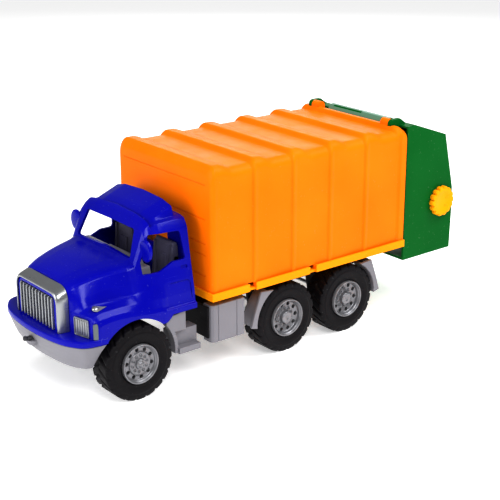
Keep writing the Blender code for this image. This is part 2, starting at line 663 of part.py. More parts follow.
def knobs(material):
    """Scalloped hand knobs pushed onto the ends of the lift's shaft."""
    outline = []
    for lobe in range(KNOB_LOBES):
        middle = 2 * math.pi * lobe / KNOB_LOBES
        for offset, radius in ((-0.32, 0.93), (-0.17, 1.0), (0.17, 1.0), (0.32, 0.93)):
            turn = middle + offset * 2 * math.pi / KNOB_LOBES
            outline.append((LIFT_X + KNOB_RADIUS * radius * math.cos(turn),
                            LIFT_Z + KNOB_RADIUS * radius * math.sin(turn)))
    knob = node_from("left_knob", prism(outline, "Y", GATE_HALF + GAP, 91.4 * MM), material,
                     (LIFT_X, 0, LIFT_Z))
    cut(knob, helper(cylinder((LIFT_X, LIFT_Z), SHAFT_RADIUS + GAP, 80 * MM, SHAFT_HALF + GAP, 16)))
    return knob, mirrored(knob, "right_knob")


# ---------------------------------------------------------------- cab

# Each station is its place along X and half of its outline: sill, side, shoulder, hood or roof.
# The points run from the lower edge up the side and in to the middle of the roof or hood.
SILL = [(80, 81.5), (80, 87)]
DOOR = [(77, 88.5), (75.6, 100), (72.8, 115)]
REAR_TOP = [(70.2, 128), (64, 166), (59, 174.5), (53.5, 176), (51, 176.4), (34, 177), (0, 177.4)]
CAB_STATIONS = [
    (109, SILL + DOOR + REAR_TOP),
    (117, SILL + DOOR + REAR_TOP),
    (118.5, SILL + DOOR + [(70, 128), (63.8, 166), (59, 174.5), (53.5, 176.5), (50.5, 186.5),
                           (34, 190.6), (0, 192.4)]),
    (145, SILL + DOOR + [(69.8, 128), (62.6, 166), (58, 174), (53, 175.8), (50, 177.6),
                         (34, 181.2), (0, 183.4)]),
    (153, [(80, 81.5), (80, 86)] + [(77, 88.5), (75.6, 100), (72.4, 115)]
     + [(69.4, 128), (61.8, 165), (57, 172.6), (52.5, 174.8), (49, 176.6), (34, 178.4), (0, 180)]),
    (159.5, [(79.4, 81), (79.4, 87), (77.2, 89), (75.8, 100), (72, 115), (69, 128), (61, 163),
             (56.4, 167.6), (52, 169.2), (48, 170.2), (34, 171.4), (0, 172.6)]),
    (171.5, [(79, 77), (79, 88), (78, 92), (75.5, 101), (70.4, 112), (66.5, 122), (60, 134.5),
             (56.4, 137), (52, 138.6), (48, 139.8), (34, 141), (0, 142)]),
    (178.5, [(79, 74), (79, 90), (77.4, 95), (73.6, 101.4), (66.6, 108), (62.4, 118), (57.8, 131.6),
             (55.4, 134.8), (52, 136.4), (48, 137.4), (34, 139), (0, 140.6)]),
    (203, [(79, 70), (79, 92), (77.2, 97), (72.6, 102), (61, 105), (57.4, 117), (52, 129.2),
           (49.4, 132), (46, 133.4), (42, 134.4), (30, 136.2), (0, 138)]),
    (222, [(79, 70), (79, 91), (77, 96.2), (72.2, 101.2), (59, 104.4), (53.6, 114), (47.4, 125.4),
           (44.8, 128), (41, 129.6), (37, 130.6), (26, 132.2), (0, 133.8)]),
    (228, [(78.5, 70), (78.5, 88), (77, 95.4), (72.4, 100), (59, 102.8), (52.4, 113), (45.6, 123.6),
           (43, 126.2), (39.4, 127.8), (35.6, 128.8), (24.6, 130.4), (0, 132)]),
    (232.4, [(75, 70), (75, 88), (74.4, 94), (71.2, 98.8), (58, 101.4), (50.6, 111.6), (43.8, 121.8),
             (41.4, 124.6), (37.8, 126.2), (34, 127.2), (23, 128.8), (0, 130.4)]),
    (236.5, [(58, 70), (58, 88), (57.8, 94), (56, 98.6), (50.6, 101), (47, 110.6), (42.8, 120),
             (40.2, 122.8), (36.8, 124.4), (33.2, 125.4), (22.4, 126.8), (0, 128.2)]),
    (239.5, [(45, 70), (45, 88), (45, 93), (45, 97), (44.8, 101), (43.6, 109), (41.2, 118), (38.8, 120.8),
             (35.6, 122.4), (32, 123.4), (21.6, 124.6), (0, 126)]),
]


def offset_half(half, distance):
    """Half an outline moved inwards, square to its own edges; the sill only moves sideways."""
    moved = []
    for i, (y, z) in enumerate(half):
        before = Vector(half[max(i - 1, 0)])
        after = Vector(half[min(i + 1, len(half) - 1)])
        along = (after - before).normalized()
        inward = Vector((-along.y, along.x))
        if i == len(half) - 1:
            inward = Vector((0, -1))
        spot = Vector((y, z)) + inward * distance
        moved.append((max(spot.x, 0.0), spot.y))
    return moved


def full_ring(x, half):
    left = [(x * MM, y * MM, z * MM) for y, z in half]
    right = [(x, -y, z) for x, y, z in reversed(left[:-1])]
    return left + right


def belted(half):
    """The half outline with one more point on its lowest edge, level with the lip's top."""
    low_y, low_z = half[0]
    lip_top = LIP_TOP / MM
    level = lip_top
    if low_z > lip_top - 1:
        level = max(lip_top, (low_z + half[1][1]) / 2)
    return [half[0], (low_y, level)] + half[1:]


def cab_solid():
    return loft([full_ring(x, belted(half)) for x, half in CAB_STATIONS])


def cab_hollow():
    """The cab's inside: every wall one thickness in, and open underneath."""
    wall = CAB_WALL / MM
    sections = []
    for i, (x, half) in enumerate(CAB_STATIONS):
        inner = offset_half(half, wall)
        inner[0] = (inner[1][0], 50)
        ahead = i < 3
        sections.append(full_ring(x + (wall if ahead else -wall), inner))
    return loft(sections)


def windscreen_outline():
    return rounded([(0, 143 * MM), (50.4 * MM, 140.6 * MM), (43.9 * MM, 168.6 * MM),
                    (-43.9 * MM, 168.6 * MM), (-50.4 * MM, 140.6 * MM)], [0] + [2.5 * MM] * 4, 2)


def side_window_outline():
    return rounded([(115.5 * MM, 133.8 * MM), (131 * MM, 133.8 * MM), (147 * MM, 126.8 * MM),
                    (166.5 * MM, 126.4 * MM), (166.5 * MM, 139 * MM), (155.5 * MM, 165.5 * MM),
                    (118.5 * MM, 163.6 * MM)],
                   [2.5 * MM, 6 * MM, 6 * MM, 2 * MM, 3 * MM, 2 * MM, 3 * MM], 2)


def grille_block():
    """The nose's blue backing: it narrows forwards to the flat grille face."""
    def face(x, half, top, corner):
        outline = rounded([(-half, 71 * MM), (half, 71 * MM), (half, top), (-half, top)],
                          [0, 0, corner, corner], 4)
        return [(x, y, z) for y, z in outline]
    return loft([face(NOSE_X - 2 * MM, 41 * MM, 122 * MM, 13 * MM),
                 face(NOSE_X + 1 * MM, 41 * MM, 122 * MM, 13 * MM),
                 face(GRILLE_X, GRILLE_HALF, GRILLE_TOP, 11 * MM)])


def mirror_lobe(side):
    """The ear-shaped mirror moulded onto a windscreen pillar."""
    outline = circle((side * 65 * MM, 151.5 * MM), 12 * MM, 16)
    return prism([(y, z + 0.25 * (z - 151.5 * MM)) for y, z in outline], "X", 160.3 * MM, 163.9 * MM)


def cab_shell(material):
    cab = node_from("cab_shell", cab_solid(), material)
    join(cab, helper(grille_block()), helper(mirror_lobe(1)), helper(mirror_lobe(-1)),
         helper(prism(nose_outline(0), "Z", LIP_UNDER, LIP_TOP)))
    pocket = rounded([(-POCKET_HALF, POCKET_UNDER), (POCKET_HALF, POCKET_UNDER),
                      (POCKET_HALF, POCKET_TOP), (-POCKET_HALF, POCKET_TOP)], 0.4 * MM, 1)
    rear_window = rounded([(-34 * MM, 134 * MM), (34 * MM, 134 * MM), (31 * MM, 162 * MM),
                           (-31 * MM, 162 * MM)], 4 * MM, 2)
    cut(cab, helper(cab_hollow()),
        helper(prism(nose_outline(3 * MM)[1:-1], "Z", LIP_UNDER - 10 * MM, LIP_TOP - CAB_WALL)),
        helper(block((NOSE_X - 12 * MM, -30 * MM, 80 * MM), (NOSE_X + 7 * MM, 30 * MM, 110 * MM))),
        helper(arch_opening()),
        helper(prism(windscreen_outline(), "X", 140 * MM, 173.5 * MM)),
        helper(prism(side_window_outline(), "Y", -100 * MM, -50 * MM)),
        helper(prism(side_window_outline(), "Y", 50 * MM, 100 * MM)),
        helper(prism(rear_window, "X", CAB_REAR_X - 5 * MM, CAB_REAR_X + 5 * MM)),
        helper(prism(pocket, "X", GRILLE_X - POCKET_DEPTH, GRILLE_X + 5 * MM)))
    return cab


def grille_surround(material):
    """The bright inverted U on the sloping border of the nose."""
    foot = LIP_TOP + GAP

    def legs(x, half, top, corner, thick):
        outer = rounded([(half, foot), (half, top), (-half, top), (-half, foot)],
                        [0, corner, corner, 0], 4)
        inner = rounded([(half - thick, foot), (half - thick, top - thick),
                         (thick - half, top - thick), (thick - half, foot)],
                        [0, corner - thick * 0.6, corner - thick * 0.6, 0], 4)
        return [(x, y, z) for y, z in outer + inner[::-1]]
    return node_from("grille_surround", loft([
        legs(NOSE_X + GAP, 43 * MM, 124.2 * MM, 15 * MM, 1.4 * MM),
        legs(GRILLE_X + 1.4 * MM, 41.2 * MM, 119 * MM, 12 * MM, 2 * MM)]), material)


def grille_bars(material):
    """Eleven upright bars on two thin rails, in the pocket of the nose."""
    floor_x = GRILLE_X - POCKET_DEPTH + GAP
    tip_x = GRILLE_X + 2.4 * MM
    rail_half = POCKET_HALF - GAP
    rail_height = 2.2 * MM

    def rail(low):
        return block((floor_x, -rail_half, low), (floor_x + 1 * MM, rail_half, low + rail_height))
    bars = node_from("grille_bars", rail(POCKET_UNDER + 2 * MM), material)
    for k in range(GRILLE_BARS):
        y = (k - (GRILLE_BARS - 1) / 2) * BAR_PITCH
        plan = [(floor_x - 0.1 * MM, y - 1.3 * MM), (tip_x, y - 0.9 * MM),
                (tip_x, y + 0.9 * MM), (floor_x - 0.1 * MM, y + 1.3 * MM)]
        join(bars, helper(prism(plan, "Z", POCKET_UNDER + GAP, POCKET_TOP - GAP)))
    join(bars, helper(rail(POCKET_TOP - 2 * rail_height)))
    return bars


def plate_on(corners, lift, thickness):
    """A plate in front of four points that go round a face: lifted off it, then thickened."""
    points = [Vector(corner) for corner in corners]
    normal = (points[1] - points[0]).cross(points[3] - points[0]).normalized()
    return loft([[point + normal * height for point in points]
                 for height in (lift, lift + thickness)])


def nose_face_x(y):
    """How far forward the cab's front corner face is at a distance from the middle."""
    share = (y - 45 * MM) / (75 * MM - 45 * MM)
    return NOSE_X + share * (232.4 * MM - NOSE_X)


def lamps(material):
    """Headlamp, corner indicator and fender marker on each side."""
    low, high = LIP_TOP + GAP, 96.5 * MM
    inner, outer = 51 * MM, 70.5 * MM
    face = [(nose_face_x(inner), inner, low), (nose_face_x(outer), outer, low),
            (nose_face_x(outer), outer, high), (nose_face_x(inner), inner, high)]
    pair("headlamp", plate_on(face, 0.5 * MM, 1.6 * MM), material)
    corner = [(232.4 * MM, 75 * MM), (228 * MM, 78.6 * MM)]
    ends = [Vector(corner[0]).lerp(Vector(corner[1]), share) for share in (0.05, 0.95)]
    face = [(*ends[0], low), (*ends[1], low), (*ends[1], 94 * MM), (*ends[0], 94 * MM)]
    pair("indicator", plate_on(face, 0.5 * MM, 1.3 * MM), material)
    bulb_x, bulb_y = 222.5 * MM, 65.4 * MM
    outline = arc((bulb_x, bulb_y), 4 * MM, -110, 110, 8) + [(bulb_x - 12.8 * MM, bulb_y)]
    marker = loft([[(bulb_x + (x - bulb_x) * share, bulb_y + (y - bulb_y) * share,
                     fender_height(y) + lift) for x, y in outline]
                   for share, lift in ((1, GAP), (1, 1.6 * MM), (0.6, 2.8 * MM))])
    pair("fender_marker", marker, material)


def fender_height(y):
    """Top of the front fender between its shoulder and the bonnet's side."""
    share = (y - 59 * MM) / (72.4 * MM - 59 * MM)
    return 104.9 * MM + share * (101.9 * MM - 104.9 * MM)


def seat_unit(material):
    """A bench with two backrests, standing on the frame."""
    bench = [(112.2 * MM, 76.3 * MM), (140 * MM, 76.3 * MM), (140 * MM, 96 * MM), (112.2 * MM, 94 * MM)]
    seats = node_from("seat_unit", prism(bench, "Y", -54.5 * MM, 54.5 * MM), material)
    back = [(112.2 * MM, 90 * MM), (125 * MM, 90 * MM), (121 * MM, 118 * MM), (119 * MM, 146.5 * MM),
            (113.5 * MM, 147 * MM)]
    for side in (-1, 1):
        low, high = sorted((side * 19 * MM, side * 54 * MM))
        join(seats, helper(prism(back, "Y", low, high)))
    return seats


def dashboard(material):
    """The shelf below the windscreen, with a raised instrument cover on the driver's side."""
    low = [(150 * MM, 118 * MM), (166 * MM, 120 * MM), (167 * MM, 131 * MM), (152 * MM, 131 * MM)]
    shelf = [(154 * MM, 130 * MM), (167 * MM, 130 * MM), (168 * MM, 137 * MM), (156 * MM, 136.4 * MM)]
    dash = node_from("dashboard", prism(low, "Y", -58 * MM, 58 * MM), material)
    join(dash, helper(prism(shelf, "Y", -51 * MM, 51 * MM)))
    cover = [(157 * MM, 136 * MM), (164 * MM, 136 * MM), (162.5 * MM, 139.4 * MM), (158 * MM, 139 * MM)]
    join(dash, helper(prism(cover, "Y", -5 * MM, 39 * MM)))
    return dash


def tip_pin(material):
    """The steel rod on which the body tips."""
    return node_from("tip_pin", cylinder((TIP_X, TIP_Z), AXLE_RADIUS, -FRAME_HALF - 5.6 * MM,
                                         FRAME_HALF + 5.6 * MM, 12), material, (TIP_X, 0, TIP_Z))


def main():
    clear_scene()
    materials = {
        "steel": plastic("bright_steel", (0.62, 0.62, 0.64), 0.25, 1.0),
        "tyre": plastic("black_tyre", (0.03, 0.028, 0.032), 0.55),
        "rim": plastic("silver_rim", (0.42, 0.42, 0.45), 0.35, 0.6),
        "frame": plastic("dark_frame", (0.03, 0.03, 0.035), 0.5),
        "grey": plastic("grey_plastic", (0.33, 0.33, 0.35), 0.4),
        "hook": plastic("dark_hook", (0.10, 0.10, 0.11), 0.4),
        "dark_grey": plastic("dark_grey_plastic", (0.03, 0.03, 0.045), 0.5),
        "blue": plastic("blue_plastic", (0.005, 0.005, 0.42), 0.2),
        "silver": plastic("silver_trim", (0.55, 0.55, 0.57), 0.25, 0.8),
        "orange": plastic("orange_plastic", (1.0, 0.24, 0.0), 0.3),
        "yellow_orange": plastic("yellow_orange_plastic", (1.0, 0.42, 0.01), 0.3),
        "green": plastic("green_plastic", (0.0, 0.14, 0.03), 0.3),
        "yellow": plastic("yellow_plastic", (1.0, 0.55, 0.01), 0.3),
    }
    chassis_frame(materials["frame"])
    front_bumper(materials["grey"])
    tow_hook(materials["hook"])
    step_unit(materials["grey"])
    toolbox(materials["grey"])
    mudguards(materials["grey"])
    for place in AXLE_X:
        axle_set(place, materials)
    cab_shell(materials["blue"])
    grille_surround(materials["silver"])
    grille_bars(materials["silver"])
    lamps(materials["silver"])
    seat_unit(materials["dark_grey"])
    dashboard(materials["grey"])
    screws(materials["steel"])
    tip_pin(materials["steel"])
    shell = body_shell(materials["orange"])
    floor = body_floor(materials["yellow_orange"])
    gate = tailgate(materials["green"])
    fork = lift_fork(materials["yellow"])
    left_knob, right_knob = knobs(materials["yellow"])
    gate_pivot = pivot("tailgate_pivot", (HINGE_X, 0, HINGE_Z))
    lift_pivot = pivot("lift_pivot", (LIFT_X, 0, LIFT_Z))
    tip_pivot = pivot("tip_pivot", (TIP_X, 0, TIP_Z))
    hang_on(lift_pivot, fork, left_knob, right_knob)
    hang_on(gate_pivot, gate, lift_pivot)
    hang_on(tip_pivot, shell, floor, gate_pivot)


main()
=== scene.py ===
"""The looks of the toy garbage truck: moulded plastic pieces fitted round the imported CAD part.

Measures are in millimetres in the truck's own frame, with x forwards, y to the left and z up;
the vertices are made in metres.
"""

import json
import math
import random

import bmesh
import bpy
import numpy as np
from mathutils import Matrix, Vector


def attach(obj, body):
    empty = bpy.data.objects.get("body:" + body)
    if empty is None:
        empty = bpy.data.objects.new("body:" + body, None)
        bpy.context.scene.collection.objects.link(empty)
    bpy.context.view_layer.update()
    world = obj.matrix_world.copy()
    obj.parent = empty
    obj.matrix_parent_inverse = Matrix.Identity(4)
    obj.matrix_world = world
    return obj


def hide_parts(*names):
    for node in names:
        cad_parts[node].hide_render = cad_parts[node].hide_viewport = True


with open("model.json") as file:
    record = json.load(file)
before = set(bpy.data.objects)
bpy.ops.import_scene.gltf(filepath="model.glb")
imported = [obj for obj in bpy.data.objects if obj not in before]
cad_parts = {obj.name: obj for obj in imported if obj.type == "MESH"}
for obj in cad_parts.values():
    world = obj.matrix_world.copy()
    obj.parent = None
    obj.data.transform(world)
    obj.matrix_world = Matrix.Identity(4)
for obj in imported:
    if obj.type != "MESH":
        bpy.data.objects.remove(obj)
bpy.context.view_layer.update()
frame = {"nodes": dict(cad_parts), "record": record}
random.seed(7)

MM = 0.001
SIDES = (-1, 1)

# -------- materials

FLOW_SCALE = 14.0
GLOSS_SCALE = 28.0
SPECK_SCALE = 420.0
GRAIN_SCALE = 900.0
SCUFF_STRETCH = (40.0, 60.0, 900.0)
NOISE_LOW, NOISE_HIGH = 0.3, 0.7
RUBBED_SHARE, RUBBED_LIFT = 0.6, 0.22
COAT_ROUGHNESS = 0.12


def shader_node(tree, kind, **inputs):
    """A new node with some of its sockets set; an underscore in a name stands for a space."""
    made = tree.nodes.new(kind)
    for name, value in inputs.items():
        made.inputs[name.replace("_", " ")].default_value = value
    return made


def noise_range(tree, place, scale, low, high, detail=3.0):
    """Noise at a scale, its middle part spread between two values."""
    noise = shader_node(tree, "ShaderNodeTexNoise", Scale=scale, Detail=detail)
    spread = shader_node(tree, "ShaderNodeMapRange", From_Min=NOISE_LOW, From_Max=NOISE_HIGH,
                         To_Min=low, To_Max=high)
    tree.links.new(place, noise.inputs["Vector"])
    tree.links.new(noise.outputs["Fac"], spread.inputs["Value"])
    return spread.outputs["Result"]


def moulded(name, colour, roughness, spread=0.08, metallic=0.0, grain=0.02, edge=0.6, coat=0.0,
            variation=0.06, shine=0.3):
    """Injection-moulded plastic: soft edges, faint grain, uneven gloss, rubbed spots, scuffs."""
    made = bpy.data.materials.new(name)
    made.use_nodes = True
    tree = made.node_tree
    shader = tree.nodes["Principled BSDF"]
    for socket, value in (("Metallic", metallic), ("Specular IOR Level", shine),
                          ("Coat Weight", coat), ("Coat Roughness", COAT_ROUGHNESS)):
        shader.inputs[socket].default_value = value
    place = tree.nodes.new("ShaderNodeTexCoord").outputs["Object"]

    # Colour: broad flow variation of the resin, and paler specks where it has rubbed
    darker = tuple(channel * (1 - variation) for channel in colour)
    paler = tuple(min(1.0, channel * (1 + variation) + 0.004) for channel in colour)
    flow = shader_node(tree, "ShaderNodeMix")
    flow.data_type = "RGBA"
    flow.inputs["A"].default_value = (*darker, 1)
    flow.inputs["B"].default_value = (*paler, 1)
    tree.links.new(noise_range(tree, place, FLOW_SCALE, 0.0, 1.0), flow.inputs["Factor"])
    rubbed = shader_node(tree, "ShaderNodeMix")
    rubbed.data_type = "RGBA"
    worn = tuple(RUBBED_SHARE * channel + RUBBED_LIFT for channel in colour)
    rubbed.inputs["B"].default_value = (*worn, 1)
    specks = noise_range(tree, place, SPECK_SCALE, -1.9, 0.16, detail=6.0)
    speck_limit = shader_node(tree, "ShaderNodeClamp")
    tree.links.new(specks, speck_limit.inputs["Value"])
    tree.links.new(speck_limit.outputs["Result"], rubbed.inputs["Factor"])
    tree.links.new(flow.outputs["Result"], rubbed.inputs["A"])
    tree.links.new(rubbed.outputs["Result"], shader.inputs["Base Color"])

    # Gloss: uneven over the piece, with fine scuffs drawn out along it
    gloss = noise_range(tree, place, GLOSS_SCALE, roughness - spread / 2, roughness + spread / 2)
    stretch = shader_node(tree, "ShaderNodeMapping", Scale=SCUFF_STRETCH)
    tree.links.new(place, stretch.inputs["Vector"])
    scuffs = noise_range(tree, stretch.outputs["Vector"], 1.0, -0.05, 0.07, detail=5.0)
    total = shader_node(tree, "ShaderNodeMath")
    total.operation = "ADD"
    total.use_clamp = True
    tree.links.new(gloss, total.inputs[0])
    tree.links.new(scuffs, total.inputs[1])
    tree.links.new(total.outputs["Value"], shader.inputs["Roughness"])

    # Surface: softened edges under a fine grain
    bevel = shader_node(tree, "ShaderNodeBevel", Radius=edge * MM)
    bevel.samples = 4
    bump = shader_node(tree, "ShaderNodeBump", Strength=grain * 10, Distance=0.1 * MM)
    tree.links.new(noise_range(tree, place, GRAIN_SCALE, 0.0, 1.0), bump.inputs["Height"])
    tree.links.new(bevel.outputs["Normal"], bump.inputs["Normal"])
    tree.links.new(bump.outputs["Normal"], shader.inputs["Normal"])
    return made


MATERIALS = {
    "blue_plastic": moulded("blue_moulding", (0.0, 0.0, 0.33), 0.2, spread=0.05, coat=0.1,
                            shine=0.14),
    "orange_plastic": moulded("orange_moulding", (1.0, 0.215, 0.0), 0.36, shine=0.07),
    # Orange painted paler and yellower: a painted highlight for light falling on the body floor's
    # upward-facing lip
    "yellow_orange_plastic": moulded("painted_lit_orange_moulding", (1.0, 0.33, 0.001), 0.36,
                                     shine=0.07),
    "green_plastic": moulded("green_moulding", (0.0, 0.125, 0.018), 0.36, shine=0.06),
    "yellow_plastic": moulded("yellow_moulding", (1.0, 0.38, 0.001), 0.33, shine=0.07),
    "grey_plastic": moulded("grey_moulding", (0.225, 0.22, 0.243), 0.4, grain=0.03),
    "dark_grey_plastic": moulded("dark_grey_moulding", (0.075, 0.07, 0.11), 0.4, grain=0.03),
    "lamp_grey": moulded("lamp_grey_plating", (0.15, 0.17, 0.175), 0.35, metallic=0.5, edge=0.5),
    # Green painted paler: a painted sheen, standing for light on the tailgate's sloping roof lip
    "painted_sheen_green": moulded("painted_sheen_green_moulding", (0.13, 0.27, 0.19), 0.35),
    "dark_hook": moulded("hook_moulding", (0.05, 0.05, 0.055), 0.4),
    # Near-black painted shade: the chassis frame is coloured to stand for the shade under the body and
    # in front of the toolboxes
    "dark_frame": moulded("painted_shade_frame_moulding", (0.008, 0.007, 0.009), 0.55, grain=0.04),
    "black_tyre": moulded("tyre_moulding", (0.004, 0.003, 0.005), 0.5, shine=0.2, spread=0.14,
                          grain=0.05, edge=0.9, variation=0.2),
    "silver_rim": moulded("rim_plating", (0.24, 0.24, 0.255), 0.33, metallic=0.6, edge=0.5,
                          grain=0.006),
    "silver_trim": moulded("trim_plating", (0.34, 0.35, 0.36), 0.3, metallic=0.85, edge=0.5,
                           grain=0.004),
    "steel": moulded("drawn_steel", (0.6, 0.6, 0.62), 0.28, metallic=1.0, edge=0.2),
}

# -------- mesh code

PLACE = {
    "X": lambda a, b, level: (level, a, b),
    "Y": lambda a, b, level: (a, level, b),
    "Z": lambda a, b, level: (a, b, level),
}
MOST_REACH = 0.48
LEAST_HALF_ANGLE = 0.05
SAME_POINT = 0.02
FLAT_ANGLE = 1.0
SOFT_EDGE_ANGLE = 28
BODY_OF = {node: body for body, nodes in frame["record"]["behaviour"]["bodies"].items()
           for node in nodes}


def rounded(outline, radius, steps=4):
    """The outline with its corners replaced by curves; each reaches at most half way along a side."""
    radii = radius if isinstance(radius, (list, tuple)) else [radius] * len(outline)
    result = []
    for i, (corner, size) in enumerate(zip(outline, radii)):
        if size <= 0:
            result.append(tuple(corner))
            continue
        here = Vector(corner)
        back = Vector(outline[i - 1]) - here
        ahead = Vector(outline[(i + 1) % len(outline)]) - here
        half = max(back.angle(ahead) / 2, LEAST_HALF_ANGLE)
        reach = size / math.tan(half)
        start = here + back.normalized() * min(reach, back.length * MOST_REACH)
        end = here + ahead.normalized() * min(reach, ahead.length * MOST_REACH)
        for k in range(steps + 1):
            t = k / steps
            result.append(tuple(start * (1 - t) ** 2 + here * 2 * t * (1 - t) + end * t ** 2))
    return result


def rectangle(low, high):
    return [low, (high[0], low[1]), high, (low[0], high[1])]


def at_angles(centre, radius, turns):
    return [(centre[0] + radius * math.cos(t), centre[1] + radius * math.sin(t)) for t in turns]


def circle(centre, radius, steps, start=0.0):
    return at_angles(centre, radius, [start + math.tau * k / steps for k in range(steps)])


def arc(centre, radius, first, last, steps):
    """Points on a circle between two angles in degrees."""
    degrees = [first + (last - first) * k / steps for k in range(steps + 1)]
    return at_angles(centre, radius, [math.radians(turn) for turn in degrees])


def direction(points, i):
    """The way in which a line of points runs at one of them."""
    before = Vector(points[max(i - 1, 0)])
    after = Vector(points[min(i + 1, len(points) - 1)])
    return (after - before).normalized()


def curve_through(points, steps):
    """A smooth line through all the points, with a number of steps from each one to the next."""
    line = []
    for i in range(len(points) - 1):
        p = [Vector(points[min(max(k, 0), len(points) - 1)]) for k in (i - 1, i, i + 1, i + 2)]
        slope = p[2] - p[0]
        bend = 2 * p[0] - 5 * p[1] + 4 * p[2] - p[3]
        change = 3 * p[1] - p[0] - 3 * p[2] + p[3]
        for k in range(steps):
            t = k / steps
            line.append(0.5 * (2 * p[1] + slope * t + bend * t * t + change * t ** 3))
    line.append(Vector(points[-1]))
    return line


def on_side(side, inner, outer):
    """Two distances from the truck's middle as places along Y on one side, the lower one first."""
    return sorted((side * inner, side * outer))


def vertices(maker, points):
    """New vertices, in metres, at points in millimetres."""
    return [maker.verts.new([value * MM for value in point]) for point in points]


def strip_faces(maker, rings):
    """Quads between neighbouring open rows of vertices."""
    for near, far in zip(rings, rings[1:]):
        for i in range(len(near) - 1):
            maker.faces.new((near[i], near[i + 1], far[i + 1], far[i]))


def ring_faces(maker, rings, wrap=False):
    """Quads between neighbouring rings of vertices; a wrapped stack closes on itself."""
    pairs = list(zip(rings, rings[1:]))
    if wrap:
        pairs.append((rings[-1], rings[0]))
    for near, far in pairs:
        for i in range(len(near)):
            j = (i + 1) % len(near)
            corners = list(dict.fromkeys([near[i], near[j], far[j], far[i]]))
            if len(corners) > 2:
                maker.faces.new(corners)


def loft(sections, maker=None):
    """A solid through sections with equal numbers of points, added to the mesh being made."""
    maker = maker or bmesh.new()
    rings = [vertices(maker, section) for section in sections]
    ring_faces(maker, rings)
    maker.faces.new(rings[0])
    maker.faces.new(rings[-1])
    return maker


def prism(outline, axis, low, high, maker=None):
    """A solid with one outline, between two levels along an axis."""
    place = PLACE[axis]
    return loft([[place(a, b, level) for a, b in outline] for level in (low, high)], maker)


def block(low, high, maker=None):
    """A box between two opposite corners."""
    return prism(rectangle(low[:2], high[:2]), "Z", low[2], high[2], maker)


def turned(profile, centre, steps, maker=None, axis="Y"):
    """A profile of (radius, level) pairs turned about the line along an axis through the centre."""
    maker = maker or bmesh.new()
    place = PLACE[axis]
    rings = []
    for radius, level in profile:
        if radius == 0:
            rings.append(vertices(maker, [place(*centre, level)]) * steps)
            continue
        spots = circle(centre, radius, steps)
        rings.append(vertices(maker, [place(a, b, level) for a, b in spots]))
    ring_faces(maker, rings)
    return maker


def piece(name, maker, body=None, node=None, slot=None, material=None, sharp=32):
    """A shown object from a mesh being made; it rides on a body and may stand for CAD nodes."""
    bmesh.ops.recalc_face_normals(maker, faces=maker.faces)
    mesh = bpy.data.meshes.new(name)
    maker.to_mesh(mesh)
    maker.free()
    return shown(name, mesh, body, node, slot, material, sharp)


def shown(name, mesh, body=None, node=None, slot=None, material=None, sharp=32):
    """A shown object from a finished mesh, with edges over an angle in degrees left sharp."""
    mesh.shade_smooth()
    mesh.set_sharp_from_angle(angle=math.radians(sharp))
    made = bpy.data.objects.new(name, mesh)
    bpy.context.scene.collection.objects.link(made)
    mesh.materials.clear()
    if slot or material:
        mesh.materials.append(material or MATERIALS[slot])
    if body:
        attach(made, body)
    if node:
        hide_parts(*([node] if isinstance(node, str) else node))
    return made


def carved(target, tools, operation="DIFFERENCE"):
    """One exact boolean of the target mesh with the tools' mesh; both are used up."""
    first = piece("target", target)
    other = piece("tools", tools)
    modifier = first.modifiers.new("cut", "BOOLEAN")
    modifier.operation = operation
    modifier.solver = "EXACT"
    modifier.object = other
    bpy.context.view_layer.update()
    graph = bpy.context.evaluated_depsgraph_get()
    mesh = bpy.data.meshes.new_from_object(first.evaluated_get(graph))
    bpy.data.objects.remove(first)
    bpy.data.objects.remove(other)
    result = bmesh.new()
    result.from_mesh(mesh)
    return result


def reflected(source, name, body, node, slot):
    """The piece on the other side of the truck."""
    mesh = source.data.copy()
    mesh.transform(Matrix.Scale(-1, 4, (0, 1, 0)))
    mesh.flip_normals()
    return shown(name, mesh, body, node, slot, source.data.materials[0])


def softened(node, slot, width):
    """A copy of a CAD node with its edges rounded over, standing for it."""
    maker = bmesh.new()
    maker.from_mesh(frame["nodes"][node].data)
    bmesh.ops.remove_doubles(maker, verts=maker.verts, dist=SAME_POINT * MM)
    bmesh.ops.dissolve_limit(maker, angle_limit=math.radians(FLAT_ANGLE), verts=maker.verts,
                             edges=maker.edges)
    edges = [edge for edge in maker.edges
             if edge.is_manifold and edge.calc_face_angle(0) > math.radians(SOFT_EDGE_ANGLE)]
    bmesh.ops.bevel(maker, geom=edges, offset=width * MM, segments=2, profile=0.5,
                    affect="EDGES", clamp_overlap=True)
    made = piece(node + "_moulding", maker, BODY_OF[node], node, slot, sharp=40)
    even = made.modifiers.new("even_normals", "WEIGHTED_NORMAL")
    even.keep_sharp = True


# -------- wheels

AXLES = {"front": 183.6, "middle": -11.1, "rear": -100.8}
AXLE_Z = 40
ARCH_RADIUS = 46.5
TYRE_MIDDLE_Y = 68.8
TYRE_HALF_WIDTH = 14.5
TREAD_BASE, TREAD_CROWN = 38.2, 40.0
TREAD_HALF_WIDTH = 12
SHOULDER_Y = 11.5
LUGS = 20
LUG_STEPS = 12
LUG_LEAN = 0.7
LUG_HALF, LUG_FLANK = 0.43, 0.07
LUG_OVERHANG = 0.4
RIM_VENTS = 10
VENT_RING = 15.2


def lug_height(turn, y):
    """How much of a tread lug stands at an angle and a distance from the tyre's middle, 0 to 1."""
    pitch = math.tau / LUGS
    shift = 0.5 if y >= 0 else 0.0
    phase = (turn / pitch + shift + LUG_LEAN * (abs(y) / TYRE_HALF_WIDTH)) % 1.0
    return min(1.0, max(0.0, (LUG_HALF - abs(phase - 0.5)) / LUG_FLANK))


